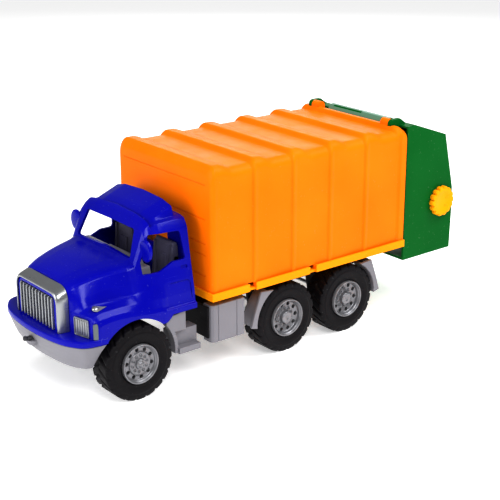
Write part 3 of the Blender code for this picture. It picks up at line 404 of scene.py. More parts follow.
def tyre_mesh():
    """A soft moulded tyre at x = 0, with leaning lugs that meet in a zigzag at its middle."""
    wall = [(21.5, 12.9), (23, 13.7), (24.2, 13.9), (25, 13.6), (26, 13.9), (29, 14.3),
            (32, 14.5), (33, 14.45), (33.4, 14.15), (34, 14.1), (35.2, 14.0)]
    half = [(radius, y, 0.0) for radius, y in wall]
    half += [(36.6, 13.7, 0.35), (37.7, 13.0, 0.75), (TREAD_BASE, TREAD_HALF_WIDTH, 1.0)]
    tread = [(TREAD_BASE, y, 1.0) for y in range(TREAD_HALF_WIDTH - 1, -TREAD_HALF_WIDTH, -1)]
    profile = half + tread + [(radius, -y, share) for radius, y, share in reversed(half)]
    maker = bmesh.new()
    rings = []
    steps = LUGS * LUG_STEPS
    for base, y, share in profile:
        ring = []
        for k in range(steps):
            turn = math.tau * k / steps
            lug = lug_height(turn, y) * share
            radius = base + (TREAD_CROWN - TREAD_BASE) * lug
            overhang = math.copysign(LUG_OVERHANG * lug, y) if abs(y) > SHOULDER_Y else 0
            ring.append((radius * math.cos(turn), TYRE_MIDDLE_Y + (y + overhang),
                         AXLE_Z + radius * math.sin(turn)))
        rings.append(vertices(maker, ring))
    ring_faces(maker, rings, wrap=True)
    return maker


def rim_mesh(front):
    """Dished rim at x = 0 with vent holes, as many bolts, and a hub."""
    centre = (0, AXLE_Z)
    profile = [(0, 80.0), (2.2, 80.0), (2.2, 59.3), (7, 59.3), (7, 74.5), (18.2, 74.5),
               (18.2, 55.3), (21.2, 55.3), (21.2, 84.9), (20.9, 85.3), (20.3, 85.4), (19.9, 85.2),
               (19.6, 84.6)]
    if front:
        profile += [(19.3, 83.6), (18.9, 83.2), (18.5, 83.0), (18.2, 82.2), (17.9, 81.4),
                    (17.4, 80.9), (16.8, 80.7), (13.4, 80.7), (12.9, 81.0), (12.7, 81.8),
                    (12.4, 82.4), (11.9, 82.6), (11.5, 82.3), (11.0, 82.2), (5.9, 82.2),
                    (5.6, 82.6), (5.4, 83.9), (4.9, 84.6), (4.2, 84.9), (3.6, 84.6), (3.2, 84.2),
                    (2.4, 85.1), (1.2, 85.9), (0, 86)]
    else:
        profile += [(19.3, 83.4), (18.8, 83.0), (18.4, 82.4), (18.1, 80.4), (17.6, 79.4),
                    (16.9, 79.0), (12.9, 79.0), (12.5, 78.6), (8.3, 78.3), (7.5, 78.6),
                    (7.2, 79.4), (6.9, 82.6), (6.6, 83.2), (6.0, 83.6), (2.0, 83.6), (1.7, 83.3),
                    (0, 83.3)]
    vent_radius = 2.1 if front else 2.3
    bolt_ring = 8.7 if front else 9.9
    bolt_base = 81.8 if front else 78.2
    bolt = [(0, 0), (1.6, 0), (1.6, 1.1), (1.35, 1.4), (1.0, 1.4), (0.9, 0.2), (0, 0.2)]
    vents = bmesh.new()
    for spot in circle(centre, VENT_RING, RIM_VENTS, math.pi / RIM_VENTS):
        prism(circle(spot, vent_radius, 16), "Y", 72, 84, vents)
    maker = carved(turned(profile, centre, 72), vents)
    for spot in circle(centre, bolt_ring, RIM_VENTS):
        turned([(radius, bolt_base + out) for radius, out in bolt], spot, 12, maker)
    return maker


def wheels():
    """Every tyre and rim, each wheel turned by a random angle."""
    tyre_source = piece("tyre_source", tyre_mesh(), sharp=50)
    rims = {True: piece("front_rim_source", rim_mesh(True)),
            False: piece("rear_rim_source", rim_mesh(False))}
    to_axle = Matrix.Translation((0, 0, AXLE_Z * MM))
    for place, axle_x in AXLES.items():
        for side in ("left", "right"):
            turn = random.uniform(0, math.tau)
            for kind, source, slot in (("tyre", tyre_source, "black_tyre"),
                                       ("rim", rims[place == "front"], "silver_rim")):
                node = f"{place}_{side}_{kind}"
                mesh = source.data.copy()
                mesh.transform(to_axle @ Matrix.Rotation(turn, 4, "Y") @ to_axle.inverted())
                if side == "right":
                    mesh.transform(Matrix.Rotation(math.pi, 4, "Z"))
                mesh.transform(Matrix.Translation((axle_x * MM, 0, 0)))
                shown(node + "_moulding", mesh, place + "_wheels", node, slot, sharp=50)
    for source in (tyre_source, *rims.values()):
        bpy.data.objects.remove(source)


# -------- refuse body

BODY_FRONT, BODY_REAR = 93.0, -186.5
BODY_BASE = 89.0
BODY_WALL = 2.4
BODY_EDGE = 6.0
SECTION_STEP = 1.07
ROOF_LOW, ROOF_RIB = 224.2, 4.8
ROOF_CORNER = 11.0
SIDE_LOW, SIDE_RIB = 84.0, 2.2
RIDGES = 5
PITCH = (BODY_FRONT - BODY_REAR - 12) / RIDGES
REAR_RIDGE = RIDGES * PITCH - 3.5
ROOF_RISE, ROOF_FALL = (0.0, 0.13), (0.25, 0.56)
SIDE_RISE, SIDE_DROP, SIDE_FALL = (0.0, 0.045), (0.05, 0.16), (0.2, 0.97)
SIDE_DROP_SHARE = 0.55
WHEEL_NOTCHES = ((36.5, 45.5), (-49.0, -39.5))
FRONT_GROOVES = (209.0, 172.0, 145.5, 133.0, 110.0)
GROOVE_HALF, GROOVE_END_Y = 0.6, 74
NOTCH_INNER_Y, NOTCH_OUTER_Y = 80, 92
EAR_X, EAR_Z = -180.1, 230.0
EAR_RADIUS = 5.4
EAR_INNER_Y, EAR_OUTER_Y, LUG_OUTER_Y = 53, 65, 70.8


def smooth_step(low, high, value):
    """From 0 at low to 1 at high, level at both ends."""
    share = min(1.0, max(0.0, (value - low) / (high - low)))
    return share * share * (3 - 2 * share)


def roof_rib(x):
    """Height of the roof at x, from 0 in a valley to 1 on a ridge; the sixth ridge is at the rear."""
    along = BODY_FRONT - x
    if along > REAR_RIDGE:
        return smooth_step(0, 4, along - REAR_RIDGE) - 0.9 * smooth_step(8, 15, along - REAR_RIDGE)
    share = (along % PITCH) / PITCH
    return smooth_step(*ROOF_RISE, share) - smooth_step(*ROOF_FALL, share)


def side_rib(x):
    """How far the side stands out at x, 0 to 1: a sharp rise at each rib, then a slow fall."""
    along = BODY_FRONT - x
    last = RIDGES * PITCH
    if along > last:
        return smooth_step(last + 1.0, last + 4.0, along)
    share = (along % PITCH) / PITCH
    rise = 1.0 if along < PITCH * 0.5 else smooth_step(*SIDE_RISE, share)
    drop = SIDE_DROP_SHARE * smooth_step(*SIDE_DROP, share)
    return rise - drop - (1 - SIDE_DROP_SHARE) * smooth_step(*SIDE_FALL, share)


def shell_ring(x, inset=0.0, wall=0.0):
    """Points from the left lower edge over the roof to the right one; the inside has no ribs."""
    ribbed = 0 if wall else 1
    top = ROOF_LOW + ribbed * ROOF_RIB * roof_rib(x) - inset - wall
    half = SIDE_LOW + ribbed * SIDE_RIB * side_rib(x) - inset - wall
    corner = ROOF_CORNER - wall
    left = [(half, BODY_BASE), (half, 130.0), (half, 175.0)]
    left += arc((half - corner, top - corner), corner, 0, 90, 8)
    left += [(half * 0.6, top), (half * 0.25, top)]
    points = left + [(0.0, top)] + [(-y, z) for y, z in reversed(left)]
    return [(x, y, z) for y, z in points]


def shell_walls():
    """The shell open at its rear and below, with a rounded front edge."""
    outer = []
    for degrees in (90, 75, 60, 45, 30, 15):
        turn = math.radians(degrees)
        outer.append(shell_ring(BODY_FRONT - BODY_EDGE * (1 - math.sin(turn)),
                                BODY_EDGE * (1 - math.cos(turn))))
    x = BODY_FRONT - BODY_EDGE
    while x > BODY_REAR + 0.6:
        outer.append(shell_ring(x))
        x -= SECTION_STEP
    outer += [shell_ring(BODY_REAR + 0.5), shell_ring(BODY_REAR, 0.5)]
    inner = [shell_ring(BODY_FRONT - 2 * BODY_WALL, 0.0, BODY_WALL),
             shell_ring(BODY_REAR, 0.0, BODY_WALL)]
    maker = bmesh.new()
    outside = [vertices(maker, ring) for ring in outer]
    inside = [vertices(maker, ring) for ring in inner]
    strip_faces(maker, outside)
    strip_faces(maker, inside)
    maker.faces.new(outside[0])
    maker.faces.new(inside[0])
    strip_faces(maker, [outside[-1], inside[-1]])
    for end in (0, -1):
        lower_edge = [ring[end] for ring in outside]
        maker.faces.new(lower_edge + [inside[-1][end], inside[0][end]])
    return maker


def body_shell():
    """The ribbed shell with grooves across its front, notches over the skirt, and hinge ears."""
    tools = bmesh.new()
    for z in FRONT_GROOVES:
        block((BODY_FRONT - 0.5, -GROOVE_END_Y, z - GROOVE_HALF),
              (BODY_FRONT + 3, GROOVE_END_Y, z + GROOVE_HALF), tools)
    for side in SIDES:
        low, high = on_side(side, NOTCH_INNER_Y, NOTCH_OUTER_Y)
        for rear, front in WHEEL_NOTCHES:
            block((rear, low, BODY_BASE - 3), (front, high, BODY_BASE + 5), tools)
    for side in SIDES:
        low, high = on_side(side, EAR_OUTER_Y, LUG_OUTER_Y)
        block((BODY_REAR - 2, low, ROOF_LOW), (EAR_X + EAR_RADIUS + 0.5, high, ROOF_LOW + 9), tools)
    maker = carved(shell_walls(), tools)
    ear_base = ROOF_LOW - 1.5
    ear = [(EAR_X - EAR_RADIUS, ear_base), *arc((EAR_X, EAR_Z), EAR_RADIUS, 180, 0, 18),
           (EAR_X + EAR_RADIUS, ear_base)]
    for side in SIDES:
        prism(ear, "Y", *on_side(side, EAR_INNER_Y, EAR_OUTER_Y), maker)
    piece("body_moulding", maker, "refuse_body", "body_shell", "orange_plastic", sharp=30)


# -------- cab

# Half outlines as (y, z) points, from the sill's foot up to the middle of the roof or bonnet
SILL = [(80, 81.5), (80, 84.2), (80, 87)]
DOOR = [(77, 88.5), (75.6, 100), (72.8, 115)]
REAR_TOP = [(70.2, 128), (64, 166), (59, 174.5), (53.5, 176), (51, 176.4), (34, 177), (0, 177.4)]
CAB_STATIONS = [
    (109, SILL + DOOR + REAR_TOP),
    (117, SILL + DOOR + REAR_TOP),
    (118.5, SILL + DOOR + [
        (70, 128), (63.8, 166), (59, 174.5), (53.5, 176.5), (50.5, 186.5), (34, 190.6), (0, 192.4)]),
    (139, SILL + DOOR + [
        (69.8, 128), (62.9, 166), (58.2, 174), (53, 175.6), (50, 178.6), (34, 182.9), (0, 185.2)]),
    (142.5, [(80, 78), (80, 82), (80, 87)] + DOOR + [
        (69.8, 128), (62.8, 166), (58.1, 173.6), (53, 175), (50, 177), (34, 181.2), (0, 183.4)]),
    (146, [(80, 75), (80, 80), (80, 87), (77.4, 89.5), (76, 100), (72.6, 115), (69.7, 128),
           (62.4, 165.8), (57.8, 172.8), (52.8, 174), (49.6, 175.4), (34, 179.2), (0, 181.3)]),
    (150.0, [(80, 74), (80, 80), (80, 87), (77.8, 91), (76, 100), (72.4, 115), (69.5, 128),
             (62, 165.4), (57.4, 171.4), (52.6, 172.0), (49.4, 172.6), (34, 175.2), (0, 177.0)]),
    (151.3, [(79.8, 74), (79.8, 80), (79.8, 88), (77.8, 92), (75.9, 101), (72.3, 115), (69.4, 128),
             (61.9, 165.2), (57.7, 174.2), (53.6, 176.9), (50.0, 178.3), (34, 180.9), (0, 182.7)]),
    (154.6, [(79.6, 74), (79.6, 80), (79.6, 88), (77.8, 92), (75.9, 101), (72.2, 115), (69.2, 128),
             (61.6, 164.6), (57.2, 172.4), (52.8, 175), (49.4, 176.4), (34, 178.8), (0, 180.4)]),
    (159.5, [(79.4, 73.5), (79.4, 80), (79.4, 88), (77.8, 92), (75.9, 101), (71.8, 115), (68.8, 128),
             (61, 163), (56.4, 167.6), (52, 169.2), (48, 170.2), (34, 171.4), (0, 172.6)]),
    (171.5, [(79, 74), (79, 80), (79, 89), (77.7, 94), (75.0, 101), (69.6, 111.4), (65.8, 121.6),
             (60, 134.5), (56.4, 137), (52, 138.6), (48, 139.8), (34, 141), (0, 142)]),
    (178.5, [(79, 74), (79, 77), (79, 90), (77.5, 95), (74.0, 101.2), (67.5, 108.8), (63.2, 118.6),
             (57.8, 131.6), (55.4, 134.8), (52, 136.4), (48, 137.4), (34, 139), (0, 140.6)]),
    (203, [(79, 70), (79, 77), (79, 92), (77.2, 97), (72.6, 102), (61, 105), (57.4, 117),
           (52, 129.2), (49.4, 132), (46, 133.4), (42, 134.4), (30, 136.2), (0, 138)]),
    (222, [(79, 70), (79, 77), (79, 91), (77, 96.2), (72.2, 101.2), (59, 104.4), (53.6, 114),
           (47.4, 125.4), (44.8, 128), (41, 129.6), (37, 130.6), (26, 132.2), (0, 133.8)]),
    (228, [(78.5, 70), (78.5, 77), (78.5, 88), (77, 95.4), (72.4, 100), (59, 102.8), (52.4, 113),
           (45.6, 123.6), (43, 126.2), (39.4, 127.8), (35.6, 128.8), (24.6, 130.4), (0, 132)]),
    (232.4, [(75, 70), (75, 77), (75, 88), (74.4, 94), (71.2, 98.8), (58, 101.4), (50.6, 111.6),
             (43.8, 121.8), (41.4, 124.6), (37.8, 126.2), (34, 127.2), (23, 128.8), (0, 130.4)]),
    (236.5, [(58, 70), (58, 77), (58, 88), (57.8, 94), (56, 98.6), (50.6, 101), (47, 110.6),
             (42.8, 120), (40.2, 122.8), (36.8, 124.4), (33.2, 125.4), (22.4, 126.8), (0, 128.2)]),
    (239.5, [(45, 70), (45, 77), (45, 88), (45, 93), (45, 97), (44.8, 101), (43.6, 109), (41.2, 118),
             (38.8, 120.8), (35.6, 122.4), (32, 123.4), (21.6, 124.6), (0, 126)]),
]
CORNER_RADII = [0, 0, 1.2, 2.5, 4, 7, 6, 5, 2.0, 1.2, 2.5, 6, 0]
SMOOTH_FROM = 178.0
CAB_WALL = 2.5
HOLLOW_FLOOR = (50, 60)
FAIRING_STEP = (116, 124)
GRILLE_X = 250.5
NOSE_HALF = [(218, 80), (232, 78.8), (243, 75), (250.4, 66), (255.9, 55), (259.4, 40),
             (261.6, 22), (262.6, 0)]
LEDGE_LEVELS = [(69.95, 1.4), (70.2, 0.7), (70.9, 0.1), (71.6, 0.0), (75.0, 0.0), (76.0, 0.3),
                (76.7, 1.0), (77.0, 2.2)]
UNDER_LEDGE_INSET, UNDER_LEDGE_HEIGHTS = 6.5, (60, 74.4)
NOSE_BASE = 71
NOSE_BOX = [(237.5, 41, 122, 13), (240.5, 41, 122, 13), (249.4, 39.2, 117.2, 11.6),
            (250.2, 38.8, 116.8, 11.2), (GRILLE_X, 38.2, 116.2, 10.8)]
WINDSCREEN = rounded([(0, 143.2), (50.4, 140.6), (43.9, 168.6), (0, 169.4), (-43.9, 168.6),
                      (-50.4, 140.6)], [40, 3, 3.5, 40, 3.5, 3], 6)
SIDE_WINDOW = rounded([(115.5, 133.8), (131, 133.8), (147, 126.8), (166.5, 126.4), (166.5, 139),
                       (155.5, 165.5), (118.5, 163.6)], [3, 9, 9, 2, 6, 2.5, 4], 6)
REAR_WINDOW = rounded([(-34, 134), (34, 134), (31, 162), (-31, 162)], 4, 5)
GRILLE_POCKET = rounded(rectangle((-32.7, 78.6), (32.7, 113)), 0.4, 1)
DOOR_LINE = [(137.5, 112.5), (116.4, 112.2), (113.4, 109.6), (112.8, 92.5)]
DOOR_HANDLE = rounded([(113.5, 124.6), (121.5, 124.6), (123, 127.6), (115, 127.8)], 1.2, 3)
DOOR_LINE_HALF, DOOR_LINE_DEPTH, HANDLE_DEPTH = 0.5, 0.6, 1.1
DOOR_HEIGHTS = [88.5, 100, 115, 128, 166]
DOOR_WIDTHS = [77, 75.6, 72.8, 70.0, 63.2]
MIRROR_Y, MIRROR_Z = 66, 151.0
MIRROR_RADIUS, MIRROR_STRETCH = 9.6, 1.2
MIRROR_SECTIONS = ((158.6, 0.7), (159.2, 0.9), (160.4, 1.0), (162.4, 1.0), (163.5, 0.9), (164.0, 0.7))


def station_at(x, stations):
    """The half outline at a place along X: straight between stations, curved along the bonnet."""
    places = [place for place, half in stations]
    halves = [np.array(half, float) for place, half in stations]
    i = min(max(np.searchsorted(places, x) - 1, 0), len(places) - 2)
    low, high = places[i], places[i + 1]
    t = min(1.0, max(0.0, (x - low) / (high - low)))
    near, far = halves[i], halves[i + 1]
    if low < SMOOTH_FROM or i + 2 >= len(places):
        return near + (far - near) * t
    span = high - low
    slope_far = (halves[i + 2] - near) / (places[i + 2] - low) * span
    slope_near = far - near
    if places[i - 1] > SMOOTH_FROM:
        slope_near = (far - halves[i - 1]) / (high - places[i - 1]) * span
    t2, t3 = t * t, t * t * t
    return ((2 * t3 - 3 * t2 + 1) * near + (t3 - 2 * t2 + t) * slope_near
            + (3 * t2 - 2 * t3) * far + (t3 - t2) * slope_far)


def cab_ring(x, half):
    """A closed ring from half an outline, with its corners rounded."""
    whole = [tuple(point) for point in half] + [(-y, z) for y, z in half[::-1][1:]]
    radii = CORNER_RADII + CORNER_RADII[::-1][1:]
    return [(x, y, z) for y, z in rounded(whole, radii, 4)]


def inwards(half, distance):
    """Half an outline moved inwards, its two lowest points taken down below the cab."""
    moved = []
    for i, spot in enumerate(half):
        along = direction(half, i)
        inward = Vector((-along.y, along.x)) if i < len(half) - 1 else Vector((0, -1))
        place = Vector(spot) + inward * distance
        moved.append((max(place.x, 0.0), place.y))
    for i, z in enumerate(HOLLOW_FLOOR):
        moved[i] = (moved[2][0], z)
    return moved


def cab_places():
    """Places along X for the cab's sections: every station, and evenly between them."""
    places = [109.0, 110.5, 113.0, 116.9, 117.0, 117.5, 118.0, 118.5]
    places += list(np.arange(121.0, 138.0, 2.4))
    places += list(np.arange(139.0, 178.0, 1.3))
    places += list(np.arange(178.5, 239.0, 1.5))
    places += [x for x, half in CAB_STATIONS]
    return sorted(set(round(float(x), 2) for x in places))


def cab_hollow():
    """The room inside the cab and the bonnet, to be cut away."""
    low, high = FAIRING_STEP
    stations = []
    for i, (x, half) in enumerate(CAB_STATIONS):
        stations.append((x + (CAB_WALL if i < 3 else -CAB_WALL), inwards(half, CAB_WALL)))
    places = [119.5, 120.2, 121.0]
    for x in cab_places():
        if not low < x < high:
            places.append(round(x + (CAB_WALL if x <= low else -CAB_WALL), 2))
    return loft([cab_ring(x, station_at(x, stations)) for x in sorted(places)])


def nose_line(inset=0.0):
    """Plan of the front ledge from the left arch round to the right one, moved inwards."""
    fine = curve_through(NOSE_HALF + [(x, -y) for x, y in NOSE_HALF[::-1][1:]], 5)
    result = []
    for i, spot in enumerate(fine):
        along = direction(fine, i)
        result.append((spot.x + along.y * inset, spot.y - along.x * inset))
    return result


def nose_section(x, half, top, corner):
    """A section of the box behind the grille, rounded at its two upper corners."""
    outline = rounded(rectangle((-half, NOSE_BASE), (half, top)), [0, 0, corner, corner], 6)
    return [(x, y, z) for y, z in outline]


def arch_tool():
    """The round room over the front wheels, to be cut away."""
    return prism(circle((AXLES["front"], AXLE_Z), ARCH_RADIUS, 96), "Y", -100, 100)


def window_tools():
    """Openings of the four windows, the grille's pocket and the room behind that."""
    tools = prism(WINDSCREEN, "X", 140, 173.5)
    prism(SIDE_WINDOW, "Y", 48, 100, tools)
    prism(SIDE_WINDOW, "Y", -100, -48, tools)
    prism(REAR_WINDOW, "X", 104, 114, tools)
    prism(GRILLE_POCKET, "X", GRILLE_X - 2.4, GRILLE_X + 5, tools)
    return block((237, -28, 80), (246.5, 28, 109), tools)


def side_y(z):
    """How far the door's outer face is from the middle at a height."""
    return float(np.interp(z, DOOR_HEIGHTS, DOOR_WIDTHS))


def door_tools():
    """The line round each door's lower panel, and the finger recess of its handle."""
    near, far = [], []
    for i, spot in enumerate(DOOR_LINE):
        along = direction(DOOR_LINE, i)
        across = Vector((-along.y, along.x)) * DOOR_LINE_HALF
        near.append(Vector(spot) + across)
        far.append(Vector(spot) - across)
    tools = bmesh.new()
    for side in SIDES:
        for outline, depth in ((near + far[::-1], DOOR_LINE_DEPTH), (DOOR_HANDLE, HANDLE_DEPTH)):
            loft([[(x, side * (side_y(z) + lift), z) for x, z in outline] for lift in (-depth, 3)],
                 tools)
    return tools


def cab():
    """Cab, bonnet and front ledge in one moulding, with the two mirrors."""
    maker = loft([cab_ring(x, station_at(x, CAB_STATIONS)) for x in cab_places()])
    ledge = loft([[(x, y, z) for x, y in nose_line(inset)] for z, inset in LEDGE_LEVELS])
    maker = carved(maker, ledge, "UNION")
    maker = carved(maker, loft([nose_section(*section) for section in NOSE_BOX]), "UNION")
    plan = nose_line(UNDER_LEDGE_INSET)[1:-1]
    under_ledge = loft([[(x, y, z) for x, y in plan] for z in UNDER_LEDGE_HEIGHTS])
    for tools in (cab_hollow(), arch_tool(), window_tools(), door_tools(), under_ledge):
        maker = carved(maker, tools)
    for side in SIDES:
        sections = []
        for x, grow in MIRROR_SECTIONS:
            outline = circle((side * MIRROR_Y, MIRROR_Z), MIRROR_RADIUS * grow, 32)
            sections.append([(x, y, MIRROR_Z + (z - MIRROR_Z) * MIRROR_STRETCH) for y, z in outline])
        loft(sections, maker)
    piece("cab_moulding", maker, "chassis", "cab_shell", "blue_plastic", sharp=26)


# -------- trim

GRILLE_FOOT = 77.3
SURROUND_SECTIONS = [
    (239.8, 42.8, 124.0, 15, 1.2), (240.4, 43.0, 124.2, 15, 1.4), (247.6, 42.4, 121.5, 14, 2.0),
    (249.9, 42.0, 120.3, 13.6, 2.4), (251.2, 41.4, 119.4, 13, 2.3),
    (251.8, 40.9, 118.8, 12.6, 1.8), (251.95, 40.4, 118.3, 12.2, 1.2)]
BARS = 11
BAR_PITCH = 6.15
BAR_FLOOR_X = GRILLE_X - 2.1
BAR_FRONT_X = GRILLE_X + 2.4
BAR_FLOOR_HALF, BAR_FRONT_HALF = 1.2, 0.85
CROSS_STRIPS, CROSS_STRIP_HALF, CROSS_STRIP_HEIGHT = (80.6, 108.6), 32.3, 2.2
BAR_SECTIONS = ((78.9, 1.0), (110.0, 1.0), (111.4, 0.93), (112.3, 0.75), (112.7, 0.45))
FACE_INNER, FACE_OUTER = (45, 239.5), (75, 232.4)
FACE_OUTWARD = (0.97, 0.23)
LAMP_LOW, LAMP_HIGH = 77.4, 96.5
LAMP_INNER, LAMP_OUTER = 51.0, 70.5
LAMP_RIM_SECTIONS = ((1, 0.5), (1, 1.6), (0.97, 2.0), (0.92, 2.0), (0.88, 0.8))
LAMP_RIB_SECTIONS = ((1, 0.7), (1, 1.0), (0.8, 1.6), (0.35, 2.0))
LAMP_RIBS, LAMP_RIB_HALF = 5, 1.15
LAMP_RIB_PITCH = 3.15
INDICATOR_LOW, INDICATOR_HIGH = 77.4, 94
INDICATOR_WIDTH = 5
INDICATOR_START, INDICATOR_END = Vector((232.2, 75.2)), Vector((228.2, 78.4))
INDICATOR_OUTWARD = Vector((0.633, 0.774))
INDICATOR_SECTIONS = ((0.5, 1.0), (1.3, 1.0), (1.8, 0.8))
MARKER_SECTIONS = ((0.0, 1.0), (0.9, 0.99), (1.9, 0.9), (2.7, 0.72), (3.2, 0.46), (3.4, 0.2))
FENDER_INNER, FENDER_OUTER = (59, 104.9), (72.4, 101.9)
MARKER_X, MARKER_Y = 222.5, 65.4
MARKER_TAIL = 12.8


def surround_section(x, half, top, corner, thick):
    """An upside-down U: down its outer line and back along its inner one."""
    inner_half, inner_top, inner_corner = half - thick, top - thick, corner - thick * 0.6
    outer = rounded([(half, GRILLE_FOOT), (half, top), (-half, top), (-half, GRILLE_FOOT)],
                    [0, corner, corner, 0], 8)
    inner = rounded([(inner_half, GRILLE_FOOT), (inner_half, inner_top), (-inner_half, inner_top),
                     (-inner_half, GRILLE_FOOT)], [0, inner_corner, inner_corner, 0], 8)
    return [(x, y, z) for y, z in outer + inner[::-1]]


def grille():
    """Surround with rounded edges, and upright bars between two cross strips, in plating."""
    maker = loft([surround_section(*section) for section in SURROUND_SECTIONS])
    piece("grille_surround_plating", maker, "chassis", "grille_surround", "silver_trim", sharp=30)
    maker = bmesh.new()
    for k in range(BARS):
        middle = (k - BARS // 2) * BAR_PITCH
        plan = rounded([(BAR_FLOOR_X, middle - BAR_FLOOR_HALF), (BAR_FRONT_X, middle - BAR_FRONT_HALF),
                        (BAR_FRONT_X, middle + BAR_FRONT_HALF), (BAR_FLOOR_X, middle + BAR_FLOOR_HALF)],
                       [0, 0.7, 0.7, 0], 4)
        rings = []
        for z, share in BAR_SECTIONS:
            width = 0.4 + 0.6 * share
            rings.append([(BAR_FLOOR_X + (x - BAR_FLOOR_X) * share, middle + (y - middle) * width, z)
                          for x, y in plan])
        loft(rings, maker)
    for low in CROSS_STRIPS:
        block((BAR_FLOOR_X, -CROSS_STRIP_HALF, low),
              (BAR_FLOOR_X + 1.0, CROSS_STRIP_HALF, low + CROSS_STRIP_HEIGHT), maker)
    piece("grille_bar_plating", maker, "chassis", "grille_bars", "silver_trim", sharp=30)


def on_line(place, start, end):
    """The value at a place, on the straight line through two (place, value) points."""
    return start[1] + (place - start[0]) / (end[0] - start[0]) * (end[1] - start[1])


def on_lamp_face(points, lift):
    """Points (y, z) set on the sloping face at the cab's front corner, and lifted off it."""
    forward, outward = FACE_OUTWARD
    return [(on_line(y, FACE_INNER, FACE_OUTER) + lift * forward, y + lift * outward, z)
            for y, z in points]


def headlamp():
    """A plated panel with upright ribs between a raised rim."""
    rim = rounded(rectangle((LAMP_INNER, LAMP_LOW), (LAMP_OUTER, LAMP_HIGH)), [1.0, 1.0, 3.2, 1.6], 4)
    centre = Vector(((LAMP_INNER + LAMP_OUTER) / 2, (LAMP_LOW + LAMP_HIGH) / 2))
    sections = []
    for share, lift in LAMP_RIM_SECTIONS:
        outline = [tuple(centre + (Vector(point) - centre) * share) for point in rim]
        sections.append(on_lamp_face(outline, lift))
    maker = loft(sections)
    for k in range(LAMP_RIBS):
        middle = LAMP_INNER + 3.45 + k * LAMP_RIB_PITCH
        rib = rounded(rectangle((middle - LAMP_RIB_HALF, LAMP_LOW + 1.6),
                                (middle + LAMP_RIB_HALF, LAMP_HIGH - 1.8)), 0.5, 2)
        sections = []
        for share, lift in LAMP_RIB_SECTIONS:
            sections.append(on_lamp_face([(middle + (y - middle) * share, z) for y, z in rib], lift))
        loft(sections, maker)
    left = piece("left_headlamp_plating", maker, "chassis", "left_headlamp", "silver_trim", sharp=30)
    reflected(left, "right_headlamp_plating", "chassis", "right_headlamp", "silver_trim")


def small_lamps():
    """Indicators on the fenders' front corners, and drop-shaped markers on top of the fenders."""
    middle = (INDICATOR_LOW + INDICATOR_HIGH) / 2
    outline = rounded(rectangle((0, INDICATOR_LOW), (INDICATOR_WIDTH, INDICATOR_HIGH)),
                      [1.0, 1.0, 2.3, 2.3], 5)
    sections = []
    for lift, shrink in INDICATOR_SECTIONS:
        ring = []
        for along, z in outline:
            share = 0.5 + (along / INDICATOR_WIDTH - 0.5) * shrink
            spot = INDICATOR_START.lerp(INDICATOR_END, share) + INDICATOR_OUTWARD * lift
            ring.append((spot.x, spot.y, middle + (z - middle) * (0.94 + 0.06 * shrink)))
        sections.append(ring)
    left = piece("left_indicator_plating", loft(sections), "chassis", "left_indicator", "silver_trim",
                 MATERIALS["lamp_grey"], sharp=35)
    reflected(left, "right_indicator_plating", "chassis", "right_indicator", "silver_trim")
    outline = arc((0, 0), 4.0, -115, 115, 24)
    outline += [(-8.5, 1.6), (-MARKER_TAIL, 0.2), (-MARKER_TAIL, -0.2), (-8.5, -1.6)]
    sections = []
    for lift, shrink in MARKER_SECTIONS:
        ring = []
        for x, y in outline:
            spot_y = MARKER_Y + y * shrink
            height = lift * (1 - 0.75 * max(0.0, -x / MARKER_TAIL))
            ring.append((MARKER_X + x * shrink, spot_y,
                         on_line(spot_y, FENDER_INNER, FENDER_OUTER) + height))
        sections.append(ring)
    left = piece("left_marker_plating", loft(sections), "chassis", "left_fender_marker",
                 "silver_trim", sharp=50)
    reflected(left, "right_marker_plating", "chassis", "right_fender_marker", "silver_trim")


BUMPER_LEVELS = [(69.7, 1.5), (69.3, 1.2), (66, 2.1), (60, 4), (54, 6.3), (48, 9), (45, 10.8),
                 (43.4, 12), (42.7, 12.9), (42.5, 14)]
BUMPER_WALL = 2.6
BUMPER_SLOT = rounded([(-21, 50.2), (-8, 48.2), (-8, 47.1), (-21, 49.1)], 0.4, 2)
ARM_INNER_Y, ARM_OUTER_Y = 14, 22
BRACKET_X, BRACKET_RADIUS = 256.5, 7.6
BRACKET_SECTIONS = ((53.4, 0.3), (53.8, 0.55), (55, 0.78), (56.6, 0.93), (58, 1.0), (60.2, 1.0))
HOOK_X = 267.0


def bumper():
    """The curved band under the front ledge with a small slot, two arms and the round bracket."""
    outer = [nose_line(inset) for z, inset in BUMPER_LEVELS]
    inner = [nose_line(inset + BUMPER_WALL) for z, inset in BUMPER_LEVELS]
    heights = [z for z, inset in BUMPER_LEVELS]
    sections = []
    for i in range(len(outer[0])):
        down = [(*line[i], z) for line, z in zip(outer, heights)]
        sections.append(down + [(*line[i], z) for line, z in zip(inner[::-1], heights[::-1])])
    maker = carved(loft(sections), arch_tool())
    maker = carved(maker, prism(BUMPER_SLOT, "X", 240, 262))
    for side in SIDES:
        low, high = on_side(side, ARM_INNER_Y, ARM_OUTER_Y)
        block((226.3, low, 55), (253.5, high, 66), maker)
    bowl = [(BRACKET_X, -BRACKET_RADIUS), *arc((BRACKET_X + 1, 0), BRACKET_RADIUS, -75, 75, 24),
            (BRACKET_X, BRACKET_RADIUS)]
    rings = []
    for z, scale in BRACKET_SECTIONS:
        rings.append([(BRACKET_X + (x - BRACKET_X) * scale, y * scale, z) for x, y in bowl])
    loft(rings, maker)
    piece("bumper_moulding", maker, "chassis", "front_bumper", "grey_plastic", sharp=35)


